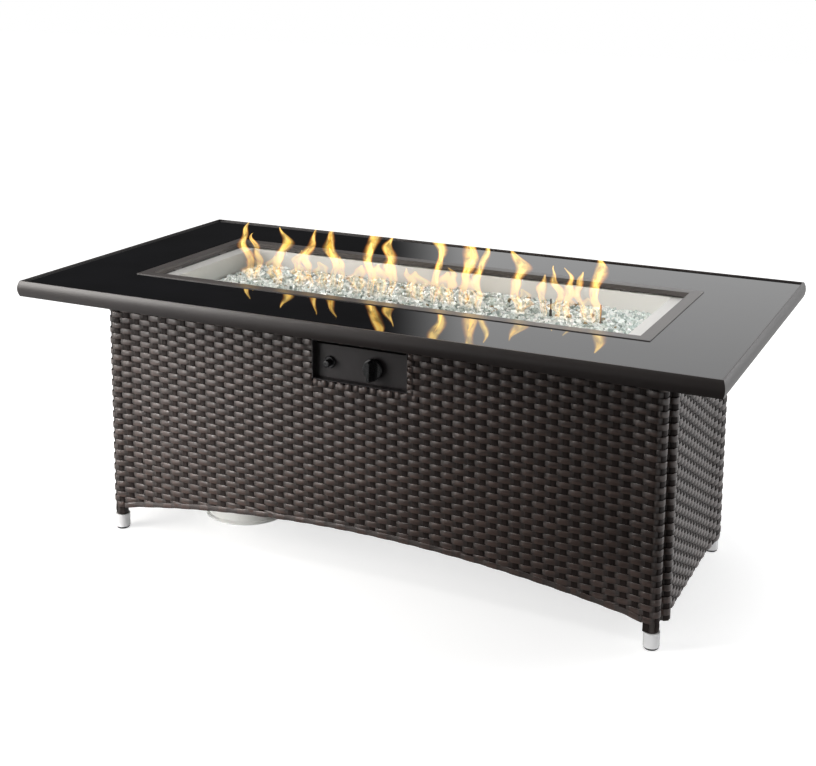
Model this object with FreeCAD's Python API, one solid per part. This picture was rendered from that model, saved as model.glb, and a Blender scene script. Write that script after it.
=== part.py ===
# Fire pit table: a black glass top in a mitred bullnose rail with a sunken linear
# burner, on a base of four woven panels that hides the gas cylinder.
# Millimetres. The origin is on the floor under the middle of the table, +X runs to
# the right along the table and -Y faces the side that carries the controls.
import FreeCAD, Part
import math
import os

V = FreeCAD.Vector
X_AXIS, Y_AXIS, Z_AXIS = V(1, 0, 0), V(0, 1, 0), V(0, 0, 1)
os.makedirs("parts", exist_ok=True)

# Table top
top_length = 1508.0
top_width = 774.0
table_height = 584.0
rail_height = 33.5
rail_depth = 38.0
rail_bulge = 4.0
rail_wall = 2.5
lip_width = 3.0
lip_rise = 3.0
glass_thickness = 8.0
glass_gap = 1.0
pad_thickness = 1.5
pad_width = 18.0
pad_inset = 2.0
glass_corner_radius = 3.0
cutout_corner_radius = 8.0
cross_rail_width = 30.0
long_rail_width = 20.0
frame_wall = 2.0
corner_key_arm = 55.0
key_clearance = 0.1

# Burner well
well_length = 1100.0
well_width = 363.0
trim_flange = 25.0
trim_sheet = 1.5
trim_depth = 10.0
trim_return = 3.0
glass_cutout_margin = 10.0
pan_sheet = 1.5
pan_depth = 72.0
pan_ledge = 36.0
pan_side_rim = 5.0
pan_gap = 3.0
pan_rim_overlap = 6.0
pan_corner_radius = 6.0
spacer_length = 24.0
fit_clearance = 0.1
drain_hole_radius = 4.0
drain_hole_spread_x = 0.8
drain_hole_spread_y = 0.6
burner_length = 880.0
burner_radius = 9.5
burner_wall = 1.2
burner_end_cap = 2.0
burner_end_margin = 20.0
burner_port_radius = 1.3
burner_port_pitch = 32.0
burner_height = 18.0
inlet_radius = 8.0
inlet_drop = 6.0
bracket_width = 16.0
bracket_wall = 6.0
bracket_sheet = 2.0
bracket_spread = 0.45
glass_bed_depth = 30.0
glass_bed_margin = 2.0
glass_bed_shoulder = 8.0
glass_bed_bank_x = 26.0
glass_bed_bank_y = 12.0
glass_bed_slope_x = 60.0
glass_bed_slope_y = 70.0
glass_bed_rise = 6.0
glass_bed_gap = 0.3
lump_pitch = 61.0
lump_radius = 27.0
lump_top_radius = 11.0
lump_rise = 5.0
lump_root = 3.0
lump_turn = 23.0
igniter_rod_radius = 1.6
igniter_rod_height = 78.0
rod_drop = 14.0
spark_wire_length = 36.0
probe_tip_length = 20.0
probe_taper = 6.0
probe_radius = 3.0
probe_x = 300.0
rod_x = 408.0
probe_y = 26.0
rod_y = 26.0

# Gas train
mixer_radius = 14.0
mixer_length = 52.0
mixer_flange = 8.0
mixer_taper = 6.0
mixer_throat = 14.0
mixer_throat_wall = 3.0
mixer_flare = 8.0
mixer_wall = 2.0
mixer_base = 3.0
mixer_window = 8.0
orifice_radius = 6.0
orifice_length = 16.0
orifice_thread = 5.0
orifice_hexagon = 9.0
pipe_radius = 4.0
pipe_bend = 22.0
pipe_drop = 8.0
valve_width = 42.0
valve_height = 34.0
valve_depth = 34.0
valve_corner_radius = 5.0
valve_neck_radius = 13.0
valve_neck_length = 6.0
spring_well_depth = 22.0
closed_spring_length = 4.0
stem_end_gap = 0.5
gas_way_radius = 3.0
gas_way_rise = 5.0
flare_radius = 7.94
flare_length = 14.0
stem_radius = 4.0
collar_ring_radius = 9.0
collar_ring_length = 3.0
collar_ring_gap = 0.3
stem_clearance = 0.05

# Controls
control_x = -6.5
control_width = 215.0
control_drop = 46.5
control_height = 82.0
control_sheet = 1.5
control_recess = 17.0
plate_height = 70.0
plate_sheet = 2.0
plate_gap = 0.2
stem_hole_radius = 9.0
knob_x = 21.0
control_axis_rise = 34.0
knob_radius = 22.0
knob_disc = 9.0
knob_rim_radius = 2.5
knob_grip_width = 8.0
knob_grip_height = 47.0
knob_grip_depth = 19.0
knob_grip_root = 3.0
knob_grip_taper = 1.2
knob_grip_lean = 3.0
knob_clearance = 4.0
knob_travel = 3.0
stem_flat = 1.2
igniter_x = -80.0
igniter_thread_radius = 9.0
igniter_body_radius = 14.0
igniter_body_length = 58.0
igniter_well_depth = 12.0
igniter_nut_radius = 12.5
igniter_nut_length = 5.0
igniter_nut_chamfer = 1.2
igniter_nut_lip = 1.0
button_radius = 7.5
button_length = 10.0
button_edge_radius = 2.5
button_travel = 4.0
button_stem_radius = 5.0
button_mouth_gap = 0.4

# Woven base
base_length = 1247.0
base_width = 505.0
leg_radius = 12.7
leg_wall = 1.6
wrap_thickness = 2.8
skin_thickness = 4.0
skin_setback = 7.0
arch_apex = 107.0
arch_spring = 52.0
edge_tube = 16.0
top_tube = 20.0
tube_end_gap = 0.2
skirt_side_bottom = 47.0
end_panel_proud = 2.0
side_post_radius = 12.0
side_post_inset = 3.5
side_post_gap = 4.5
side_rail_radius = 8.5
panel_clearance = 0.3
sleeve_radius = 15.8
sleeve_height = 29.0
sleeve_clearance = 0.05
glide_height = 5.0
glide_gap = 0.3
glide_radius = 14.6
glide_edge = 2.0
glide_stem_radius = 4.0
glide_stem_length = 34.0
leg_end_gap = 1.0
plug_recess = 4.0
plug_length = 18.0

# Access door on the left end
hinge_pin_radius = 3.0
hinge_pin_clearance = 0.05
hinge_pin_depth = 9.0
hinge_pin_end_gap = 1.5
hinge_plate = 4.0
hinge_plate_width = 14.0
hinge_plate_weld = 2.5
catch_setback = 30.0
catch_length = 46.0
catch_depth = 14.0
catch_height = 16.0
strike_sheet = 1.5
strike_margin = 1.0

# Gas cylinder
cylinder_x = -412.0
cylinder_y = -26.0
cylinder_radius = 155.5
cylinder_bottom = 26.0
cylinder_headroom = 40.5
cylinder_dome = 78.0
cylinder_knuckle = 44.0
cylinder_wall = 3.0
crown_bow = 0.06
boss_radius = 22.0
foot_radius = 96.0
foot_ring_radius = 90.0
foot_ring_lap = 34.0
foot_curl_height = 4.0
foot_sheet = 3.0
collar_radius = 108.0
collar_sheet = 3.0
collar_rise = 97.0
collar_lap = 60.0
collar_curl = 3.0
collar_opening = 76.0
collar_sill = 10.0
grip_length = 84.0
grip_height = 26.0
grip_drop = 14.0
outlet_turn = -90.0
tank_valve_radius = 15.0
tank_valve_height = 56.0
outlet_rise = 22.0
outlet_reach = 10.0
outlet_radius = 16.6
outlet_length = 18.0
outlet_neck_radius = 12.6
outlet_bore = 6.0
handwheel_radius = 29.0
handwheel_lobe = 9.0
handwheel_height = 16.0
handwheel_crown = 2.0
handwheel_clearance = 0.4

# Places that follow from the sizes above
half_length = top_length / 2
half_width = top_width / 2
glass_top_z = table_height - lip_rise
glass_bottom_z = glass_top_z - glass_thickness
seat_z = glass_bottom_z - pad_thickness
rail_bottom_z = table_height - rail_height
frame_bottom_z = rail_bottom_z + 1.0
lip_inside = rail_bulge + lip_width
rail_inner_y = half_width - rail_depth
well_x = well_length / 2
well_y = well_width / 2
cutout_x = well_x + glass_cutout_margin
cutout_y = well_y + glass_cutout_margin
trim_top_z = glass_top_z + trim_sheet
trim_foot_z = trim_top_z - trim_depth
pan_top_z = trim_foot_z - pan_gap
pan_rim_x = well_x + pan_rim_overlap
pan_rim_y = well_y + pan_rim_overlap
pan_x = well_x - pan_ledge
pan_y = well_y - pan_side_rim
pan_floor_z = pan_top_z - pan_depth
burner_z = pan_floor_z + pan_sheet + burner_height
wrap_radius = leg_radius + wrap_thickness
leg_x = base_length / 2 - wrap_radius
leg_y = base_width / 2 - wrap_radius
skin_front_y = -(base_width / 2 - skin_setback)
skin_side_x = base_length / 2 + end_panel_proud
leg_bottom_z = glide_height + leg_end_gap
wrap_bottom_z = glide_height + sleeve_height
tube_bottom_z = frame_bottom_z - top_tube
plate_front_y = skin_front_y + control_recess
plate_back_y = plate_front_y + plate_sheet
control_low_x = control_x - control_width / 2
control_high_x = control_x + control_width / 2
control_top = frame_bottom_z - control_drop
control_bottom = control_top - control_height
control_axis_z = control_bottom + control_axis_rise
post_y = leg_y - wrap_radius - side_post_gap - side_post_radius
post_x = skin_side_x - side_post_inset
side_rail_x = skin_side_x - side_rail_radius
panel_top_z = tube_bottom_z - hinge_plate - 2 * panel_clearance
collar_top = pan_floor_z - cylinder_headroom
shoulder_z = collar_top - collar_rise


def box(x0, x1, y0, y1, z0, z1):
    """A block between two opposite corners."""
    low = V(min(x0, x1), min(y0, y1), min(z0, z1))
    return Part.makeBox(abs(x1 - x0), abs(y1 - y0), abs(z1 - z0), low)


def rod(radius, start, end):
    """A round bar from one point to another."""
    run = end - start
    return Part.makeCylinder(radius, run.Length, start, run)


def tube(radius, wall, start, end):
    """A round tube between two points, open at both ends."""
    run = (end - start).normalize()
    return rod(radius, start, end).cut(rod(radius - wall, start - run, end + run))


def rounded_block(half_x, half_y, radius, z0, z1):
    """A centred block with rounded upright corners."""
    block = box(-half_x, half_x, -half_y, half_y, z0, z1)
    uprights = [edge for edge in block.Edges if abs(edge.tangentAt(0).z) > 0.9]
    return block.makeFillet(radius, uprights)


def polygon(points):
    """A flat face from corner points."""
    return Part.Face(Part.makePolygon(points + points[:1]))


def turned(profile, x, y):
    """A solid of revolution about the upright line at x, y from (radius, height) pairs."""
    face = polygon([V(x + radius, y, height) for radius, height in profile])
    return face.revolve(V(x, y, 0), Z_AXIS, 360)


def mirrored(shape, normal):
    """The shape reflected in the plane through the origin with this normal."""
    return shape.mirror(V(0, 0, 0), normal)


def four_corners(shape):
    """The shape and its reflections in the two upright middle planes."""
    pair = [shape, mirrored(shape, X_AXIS)]
    return pair + [mirrored(one, Y_AXIS) for one in pair]


def save(node, *solids):
    """Writes one node, made of one solid or of several separate ones."""
    shape = solids[0] if len(solids) == 1 else Part.makeCompound(list(solids))
    shape = shape.removeSplitter()
    assert shape.isValid() and shape.Volume > 0, node
    print(node, len(shape.Solids), round(shape.Volume))
    shape.exportStep("parts/" + node + ".step")


# Bullnose rail round the glass, mitred at the corners

def rail_section(half_span):
    """Outline of the rail that faces -Y: bowed outside, with a seat and lip for the glass."""
    outside = -half_span
    low_edge = V(0, outside + rail_bulge, rail_bottom_z)
    bow = V(0, outside, rail_bottom_z + rail_height / 2)
    top_edge = V(0, outside + rail_bulge, table_height)
    corners = [
        top_edge,
        V(0, outside + lip_inside, table_height),
        V(0, outside + lip_inside, seat_z),
        V(0, outside + rail_depth, seat_z),
        V(0, outside + rail_depth, rail_bottom_z),
        low_edge,
    ]
    edges = [Part.makeLine(a, b) for a, b in zip(corners, corners[1:])]
    edges.append(Part.Arc(low_edge, bow, top_edge).toShape())
    return Part.Face(Part.Wire(edges))


def rail_void(half_span, length, clearance=0.0):
    """The hollow of a rail, which the corner keys slide into."""
    near = -half_span + lip_inside + rail_wall + clearance
    far = -half_span + rail_depth - rail_wall - clearance
    low = rail_bottom_z + rail_wall + clearance
    high = seat_z - rail_wall - clearance
    return box(-length, length, near, far, low, high)


def mitred(section, half_run, half_span, depth):
    """A bar of this section along the front, cut at 45 degrees at both ends."""
    bar = section.extrude(V(2 * half_run, 0, 0))
    bar.translate(V(-half_run, 0, 0))
    window = polygon([
        V(-half_run, -half_span, 0),
        V(half_run, -half_span, 0),
        V(half_run - depth, -half_span + depth, 0),
        V(-half_run + depth, -half_span + depth, 0),
    ]).extrude(V(0, 0, table_height + 1))
    return bar.common(window)


def mitred_rail(half_run, half_span):
    """One side of the top rail, hollow from end to end."""
    bar = mitred(rail_section(half_span), half_run, half_span, rail_depth)
    return bar.cut(rail_void(half_span, half_run + 1))


def corner_key():
    """An L-shaped key inside the front left mitre that pulls the two rails together."""
    front_arm = rail_void(half_width, half_length, key_clearance)
    side_arm = rail_void(half_length, half_length, key_clearance)
    side_arm.rotate(V(0, 0, 0), Z_AXIS, -90)
    outer_x = -half_length + lip_inside + rail_wall + key_clearance
    outer_y = -half_width + lip_inside + rail_wall + key_clearance
    reach_x = -half_length + rail_depth + corner_key_arm
    reach_y = -half_width + rail_depth + corner_key_arm
    window = box(outer_x, reach_x, outer_y, reach_y, 0, table_height)
    return front_arm.common(window).fuse(side_arm.common(window))


front_rail = mitred_rail(half_length, half_width)
left_rail = mitred_rail(half_width, half_length)
left_rail.rotate(V(0, 0, 0), Z_AXIS, -90)
save("rail_front", front_rail)
save("rail_back", mirrored(front_rail, Y_AXIS))
save("rail_left", left_rail)
save("rail_right", mirrored(left_rail, X_AXIS))
save("corner_keys", *four_corners(corner_key()))


# Glass top with its burner cut-out, its soft pads and the rails below it

def glass_panel():
    """The tempered glass, with an arrised top edge and a cut-out for the burner well."""
    reach_x = half_length - lip_inside - glass_gap
    reach_y = half_width - lip_inside - glass_gap
    sheet = rounded_block(reach_x, reach_y, glass_corner_radius, glass_bottom_z, glass_top_z)
    hole = rounded_block(cutout_x, cutout_y, cutout_corner_radius,
                         glass_bottom_z - 1, glass_top_z + 1)
    return sheet.cut(hole)


def glass_pads():
    """Neoprene strips on the rail seats and on the rails that carry the glass."""
    side = half_width - lip_inside - glass_gap - pad_inset
    end = half_length - lip_inside - glass_gap - pad_inset
    long_run = cutout_x
    cross_run = cutout_y
    front = box(-long_run, long_run, -side, -side + pad_width, seat_z, glass_bottom_z)
    left = box(-end, -end + pad_width, -cross_run, cross_run, seat_z, glass_bottom_z)
    cross_x = cross_rail_x + (cross_rail_width - pad_width) / 2
    cross = box(cross_x, cross_x + pad_width, -cross_run, cross_run, seat_z, glass_bottom_z)
    return [front, mirrored(front, Y_AXIS), left, mirrored(left, X_AXIS),
            cross, mirrored(cross, X_AXIS)]


def square_tube(x0, x1, y0, y1, z0, z1, along):
    """A hollow bar whose ends are open along x or y."""
    wall = frame_wall
    if along == "x":
        hollow = box(x0 - 1, x1 + 1, y0 + wall, y1 - wall, z0 + wall, z1 - wall)
    else:
        hollow = box(x0 + wall, x1 - wall, y0 - 1, y1 + 1, z0 + wall, z1 - wall)
    return box(x0, x1, y0, y1, z0, z1).cut(hollow)


cross_rail_x = leg_x + leg_radius - cross_rail_width
long_rail_y = leg_y - long_rail_width / 2
cross_rail = square_tube(cross_rail_x, cross_rail_x + cross_rail_width,
                         -rail_inner_y, rail_inner_y, frame_bottom_z, seat_z, "y")
long_rail = square_tube(-cross_rail_x, cross_rail_x, -long_rail_y - long_rail_width,
                        -long_rail_y, frame_bottom_z, seat_z, "x")
save("glass_top", glass_panel())
save("glass_pads", *glass_pads())
save("cross_rails", cross_rail, mirrored(cross_rail, X_AXIS))
save("long_rails", long_rail, mirrored(long_rail, Y_AXIS))


# Burner well: dark trim on the glass, spacers, and the stainless pan below it

def trim_side(half_run, half_span):
    """One side of the trim: a flange on the glass, a wall into the well and a return."""
    flange_edge = -half_span
    wall_face = flange_edge + trim_flange
    wall_back = wall_face - trim_sheet
    return_edge = wall_face + trim_return
    return_top = trim_foot_z + trim_sheet
    section = polygon([
        V(0, flange_edge, trim_top_z),
        V(0, wall_face, trim_top_z),
        V(0, wall_face, return_top),
        V(0, return_edge, return_top),
        V(0, return_edge, trim_foot_z),
        V(0, wall_back, trim_foot_z),
        V(0, wall_back, glass_top_z),
        V(0, flange_edge, glass_top_z),
    ])
    return mitred(section, half_run, half_span, trim_flange + trim_return)


def pan_spacers():
    """Small blocks that hang the pan rim from the wall of the trim."""
    blocks = []
    inner, outer = well_y - trim_return, well_y + trim_sheet
    for share in (-0.75, -0.25, 0.25, 0.75):
        x = share * well_x
        block = box(x - spacer_length / 2, x + spacer_length / 2, -outer, -inner,
                    pan_top_z, trim_foot_z)
        blocks += [block, mirrored(block, Y_AXIS)]
    end_in, end_out = well_x - trim_return, well_x + trim_sheet
    for share in (-0.5, 0.5):
        y = share * well_y
        block = box(-end_out, -end_in, y - spacer_length / 2, y + spacer_length / 2,
                    pan_top_z, trim_foot_z)
        blocks += [block, mirrored(block, X_AXIS)]
    return blocks


def burner_pan():
    """A stainless trough folded from one sheet, open at both ends, with holes in its floor."""
    inner_floor, rim_low = pan_floor_z + pan_sheet, pan_top_z - pan_sheet
    outer_y = pan_y + pan_sheet
    half = [V(0, 0, inner_floor), V(0, pan_y, inner_floor), V(0, pan_y, pan_top_z),
            V(0, pan_rim_y, pan_top_z), V(0, pan_rim_y, rim_low), V(0, outer_y, rim_low),
            V(0, outer_y, pan_floor_z), V(0, 0, pan_floor_z)]
    sheet = polygon(half).extrude(V(2 * pan_x, 0, 0))
    sheet.translate(V(-pan_x, 0, 0))
    pan = sheet.fuse(mirrored(sheet, Y_AXIS))
    below, above = pan_floor_z - 1, pan_floor_z + pan_sheet + 1
    places = [(inlet_radius + fit_clearance, 0, 0),
              (probe_radius + fit_clearance, probe_x, probe_y),
              (probe_radius + fit_clearance, rod_x, rod_y)]
    hole_y = drain_hole_spread_y * pan_y
    for share in (-1, -0.5, 0.5, 1):
        hole_x = share * drain_hole_spread_x * pan_x
        places.append((drain_hole_radius, hole_x, -hole_y))
        places.append((drain_hole_radius, hole_x, hole_y))
    for radius, x, y in places:
        pan = pan.cut(rod(radius, V(x, y, below), V(x, y, above)))
    return pan


def pan_end():
    """The left-hand end of the pan: a wall welded to the trough, folded out to a ledge."""
    outer_y = pan_y + pan_sheet
    wall = box(-pan_x - pan_sheet, -pan_x, -outer_y, outer_y, pan_floor_z, pan_top_z)
    ledge = box(-pan_rim_x, -pan_x, -pan_rim_y, pan_rim_y, pan_top_z - pan_sheet, pan_top_z)
    corners = [edge for edge in ledge.Edges
               if abs(edge.tangentAt(0).z) > 0.9 and edge.BoundBox.XMax < -pan_x - 1]
    return ledge.makeFillet(pan_corner_radius, corners).fuse(wall)


def burner_tube():
    """The long ported tube, closed at its ends, with its inlet through the pan floor."""
    half = burner_length / 2
    body = rod(burner_radius, V(-half, 0, burner_z), V(half, 0, burner_z))
    inlet_low = pan_floor_z - inlet_drop
    body = body.fuse(rod(inlet_radius, V(0, 0, inlet_low), V(0, 0, burner_z)))
    end = half - burner_end_cap
    bore = burner_radius - burner_wall
    body = body.cut(rod(bore, V(-end, 0, burner_z), V(end, 0, burner_z)))
    body = body.cut(rod(inlet_radius - burner_wall, V(0, 0, inlet_low - 1), V(0, 0, burner_z)))
    count = int((burner_length - 2 * burner_end_margin) / burner_port_pitch)
    ports = []
    for index in range(count + 1):
        x = (index - count / 2) * burner_port_pitch
        ports.append(rod(burner_port_radius, V(x, 0, burner_z),
                         V(x, 0, burner_z + burner_radius + 1)))
    return body.cut(Part.makeCompound(ports))


def burner_brackets():
    """Saddles that lift the burner tube off the pan floor."""
    saddles = []
    floor = pan_floor_z + pan_sheet
    side = burner_radius + bracket_wall
    for x in (-bracket_spread * burner_length, bracket_spread * burner_length):
        low_x, high_x = x - bracket_width / 2, x + bracket_width / 2
        block = box(low_x, high_x, -side, side, floor, burner_z)
        seat = rod(burner_radius, V(low_x - 1, 0, burner_z), V(high_x + 1, 0, burner_z))
        relief = box(low_x - 1, high_x + 1, -burner_radius, burner_radius,
                     floor + bracket_sheet, burner_z)
        base = box(low_x, high_x, -side, side, floor, floor + bracket_sheet)
        saddles.append(block.cut(seat.fuse(relief)).fuse(base))
    return saddles


def glass_lump(x, y, ground, turn):
    """A six-sided lump half sunk in the bed of glass, turned by some degrees."""
    rings = []
    for radius, z in ((lump_radius, ground - lump_root), (lump_top_radius, ground + lump_rise)):
        corners = []
        for step in range(6):
            angle = math.radians(60 * step + turn)
            corners.append(V(x + radius * math.cos(angle), y + radius * math.sin(angle), z))
        rings.append(Part.makePolygon(corners + corners[:1]))
    return Part.makeLoft(rings, True, True)


def glass_lumps(half_x, half_y, crest_x, crest_y, crest_z):
    """Lumps all over the heap, each at the height that the heap has under its middle."""
    lumps = []
    count_x = int((half_x - lump_radius) / lump_pitch)
    count_y = int((half_y - lump_radius) / lump_pitch)
    for row in range(-count_y, count_y + 1):
        for place in range(-count_x, count_x + 1):
            x, y = place * lump_pitch, row * lump_pitch
            past_crest = max((abs(x) - crest_x) / glass_bed_slope_x,
                             (abs(y) - crest_y) / glass_bed_slope_y, 0)
            ground = crest_z - glass_bed_rise * past_crest
            lumps.append(glass_lump(x, y, ground, lump_turn * (place + 2 * row)))
    return lumps


def fire_glass():
    """The bed of crushed glass: lumpy, drawn down at its edges, around the burner."""
    floor = pan_floor_z + pan_sheet
    low_x, low_y = pan_x - glass_bed_margin, pan_y - glass_bed_margin
    top_x, top_y = low_x - glass_bed_bank_x, low_y - glass_bed_bank_y
    crest_x, crest_y = top_x - glass_bed_slope_x, top_y - glass_bed_slope_y
    crest_z = floor + glass_bed_depth + glass_bed_rise
    levels = [
        (low_x, low_y, floor),
        (low_x, low_y, floor + glass_bed_depth - glass_bed_shoulder),
        (top_x, top_y, floor + glass_bed_depth),
        (crest_x, crest_y, crest_z),
    ]
    wires = []
    for x, y, z in levels:
        corners = [V(-x, -y, z), V(x, -y, z), V(x, y, z), V(-x, y, z)]
        wires.append(Part.makePolygon(corners + corners[:1]))
    heap = Part.makeLoft(wires, True, True)
    heap = heap.fuse(glass_lumps(top_x, top_y, crest_x, crest_y, crest_z))
    half = burner_length / 2 + glass_bed_gap
    heap = heap.cut(rod(burner_radius + glass_bed_gap, V(-half, 0, burner_z), V(half, 0, burner_z)))
    heap = heap.cut(rod(inlet_radius + glass_bed_gap, V(0, 0, floor - 1), V(0, 0, burner_z)))
    reach = bracket_width / 2 + glass_bed_gap
    side = burner_radius + bracket_wall + glass_bed_gap
    for saddle in (-bracket_spread * burner_length, bracket_spread * burner_length):
        heap = heap.cut(box(saddle - reach, saddle + reach, -side, side,
                            floor - 1, burner_z + glass_bed_gap))
    for x, y in ((probe_x, probe_y), (rod_x, rod_y)):
        heap = heap.cut(rod(probe_radius + glass_bed_gap + 1, V(x, y, floor - 1),
                            V(x, y, heap.BoundBox.ZMax + 1)))
    return heap


def flame_probe():
    """Thermocouple: a thin stem through the pan floor with a tapered hot tip."""
    low, high = pan_floor_z - rod_drop, pan_floor_z + igniter_rod_height
    tip = probe_radius * 0.5
    tip_low = high - probe_tip_length
    profile = [(0, low), (probe_radius, low), (probe_radius, tip_low - probe_taper),
               (tip, tip_low), (tip, high), (0, high)]
    return turned(profile, probe_x, probe_y)


def spark_rod():
    """Spark electrode: a ceramic sleeve with a wire that stands over the glass."""
    low, high = pan_floor_z - rod_drop, pan_floor_z + igniter_rod_height
    sleeve_top = high - spark_wire_length
    profile = [(0, low), (probe_radius, low), (probe_radius, sleeve_top),
               (igniter_rod_radius, sleeve_top), (igniter_rod_radius, high), (0, high)]
    return turned(profile, rod_x, rod_y)


front_trim = trim_side(well_x + trim_flange, well_y + trim_flange)
left_trim = trim_side(well_y + trim_flange, well_x + trim_flange)
left_trim.rotate(V(0, 0, 0), Z_AXIS, -90)
save("trim_front", front_trim)
save("trim_back", mirrored(front_trim, Y_AXIS))
save("trim_left", left_trim)
save("trim_right", mirrored(left_trim, X_AXIS))
save("pan_spacers", *pan_spacers())
save("burner_pan", burner_pan())
save("pan_ends", pan_end(), mirrored(pan_end(), X_AXIS))
save("burner_tube", burner_tube())
save("burner_brackets", *burner_brackets())
save("fire_glass", fire_glass())
save("flame_probe", flame_probe())
save("spark_rod", spark_rod())


# Gas train from the control valve to the burner

def air_mixer():
    """Venturi below the pan: a waisted tube with two air windows."""
    top = pan_floor_z
    bottom = top - mixer_length
    bore = inlet_radius + fit_clearance
    throat = inlet_radius + mixer_throat_wall
    throat_top = top - mixer_flange - mixer_taper
    throat_low = throat_top - mixer_throat
    flare_low = throat_low - mixer_flare
    inside = mixer_radius - mixer_wall
    seat = orifice_radius + fit_clearance
    profile = [
        (bore, top), (mixer_radius, top), (mixer_radius, top - mixer_flange),
        (throat, throat_top), (throat, throat_low), (mixer_radius, flare_low),
        (mixer_radius, bottom), (seat, bottom), (seat, bottom + mixer_base),
        (inside, bottom + mixer_base), (inside, flare_low), (bore, throat_low),
    ]
    body = turned(profile, 0, 0)
    window_low = bottom + mixer_base + mixer_wall
    window = box(-mixer_radius, mixer_radius, -mixer_window / 2, mixer_window / 2,
                 window_low, window_low + mixer_window)
    return body.cut(window)


def gas_orifice():
    """Brass jet with a hexagon, screwed up into the bottom of the mixer."""
    low = jet_top_z - orifice_length
    points = []
    for step in range(6):
        angle = math.radians(60 * step)
        points.append(V(orifice_hexagon * math.cos(angle), orifice_hexagon * math.sin(angle), low))
    hexagon = polygon(points).extrude(V(0, 0, orifice_length - orifice_thread))
    nozzle = rod(orifice_radius, V(0, 0, jet_top_z - orifice_thread), V(0, 0, jet_top_z))
    return hexagon.fuse(nozzle)


def gas_pipe():
    """Rigid pipe from the back of the valve, bent once and up to the jet."""
    start = V(knob_x, valve_back_y, control_axis_z)
    jet_z = jet_top_z - orifice_length
    low_z = jet_z - pipe_bend - pipe_drop
    points = [
        start,
        V(knob_x, valve_back_y + 2 * pipe_bend, control_axis_z),
        V(knob_x, valve_back_y + 4 * pipe_bend, low_z),
        V(0, 0, low_z),
        V(0, 0, jet_z),
    ]
    edges = []
    last = points[0]
    for before, corner, after in zip(points, points[1:], points[2:]):
        incoming = (corner - before).normalize()
        outgoing = (after - corner).normalize()
        turn = incoming.getAngle(outgoing)
        setback = pipe_bend * math.tan(turn / 2)
        enter = corner - incoming * setback
        leave = corner + outgoing * setback
        middle_way = (outgoing - incoming).normalize()
        reach = pipe_bend / math.cos(turn / 2) - pipe_bend
        edges.append(Part.makeLine(last, enter))
        edges.append(Part.Arc(enter, corner + middle_way * reach, leave).toShape())
        last = leave
    edges.append(Part.makeLine(last, points[-1]))
    path = Part.Wire(edges)
    ring = Part.Wire(Part.makeCircle(pipe_radius, start, Y_AXIS))
    return path.makePipeShell([ring], True, False)


def gas_valve():
    """Valve block behind the plate, with a round neck and a flared inlet below."""
    half = valve_width / 2
    low = control_axis_z - valve_height / 2
    front = plate_back_y
    block_y = front + valve_neck_length
    block = box(knob_x - half, knob_x + half, block_y, valve_back_y, low, low + valve_height)
    uprights = [edge for edge in block.Edges if abs(edge.tangentAt(0).y) > 0.9]
    block = block.makeFillet(valve_corner_radius, uprights)
    neck = rod(valve_neck_radius, V(knob_x, front, control_axis_z),
               V(knob_x, block_y + 1, control_axis_z))
    middle_y = (block_y + valve_back_y) / 2
    inlet = rod(flare_radius, V(knob_x, middle_y, low - flare_length), V(knob_x, middle_y, low + 1))
    body = block.fuse(neck).fuse(inlet)
    gas_way = rod(gas_way_radius, V(knob_x, middle_y, low - flare_length - 1),
                  V(knob_x, middle_y, low + gas_way_rise))
    spring_well = rod(collar_ring_radius + collar_ring_gap, V(knob_x, front - 1, control_axis_z),
                      V(knob_x, front + spring_well_depth, control_axis_z))
    return body.cut(gas_way).cut(spring_well)


valve_back_y = plate_back_y + valve_depth
jet_top_z = pan_floor_z - mixer_length + mixer_base
save("air_mixer", air_mixer())
save("gas_orifice", gas_orifice())
save("gas_pipe", gas_pipe())
save("gas_valve", gas_valve())


# Controls in the recess under the front rail

def control_surround():
    """A folded sleeve that lines the cut-out in the woven panel."""
    outside = box(control_low_x, control_high_x, skin_front_y, plate_back_y,
                  control_bottom - control_sheet, control_top)
    inside = box(control_low_x + control_sheet, control_high_x - control_sheet,
                 skin_front_y - 1, plate_back_y + 1, control_bottom, control_top - control_sheet)
    return outside.cut(inside)


def control_plate():
    """The flat plate that carries the knob and the igniter."""
    low_x = control_low_x + control_sheet + plate_gap
    high_x = control_high_x - control_sheet - plate_gap
    plate = box(low_x, high_x, plate_front_y, plate_back_y,
                control_bottom, control_bottom + plate_height)
    for x, radius in ((knob_x, stem_hole_radius), (igniter_x, igniter_thread_radius)):
        plate = plate.cut(rod(radius, V(x, plate_front_y - 1, control_axis_z),
                              V(x, plate_back_y + 1, control_axis_z)))
    return plate


def valve_stem():
    """The stem from the well of the valve to the knob, with a flat that drives the knob.

    Pushed right in, it leaves room for the closed spring at the bottom of the well.
    """
    well_y = plate_back_y + spring_well_depth
    start = V(knob_x, well_y - knob_travel - closed_spring_length, control_axis_z)
    end = V(knob_x, knob_back_y - knob_disc, control_axis_z)
    stem = rod(stem_radius, start, end)
    flat = box(knob_x + stem_radius - stem_flat, knob_x + stem_radius + 1, end.y - 1,
               knob_back_y, control_axis_z - stem_radius, control_axis_z + stem_radius)
    return stem.cut(flat)


def stem_collar():
    """Ring on the stem, in the neck of the valve, that the return spring pushes."""
    start = V(knob_x, plate_back_y + 1, control_axis_z)
    end = V(knob_x, plate_back_y + 1 + collar_ring_length, control_axis_z)
    ring = rod(collar_ring_radius, start, end)
    return ring.cut(rod(stem_radius + stem_clearance, start - Y_AXIS, end + Y_AXIS))


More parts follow.
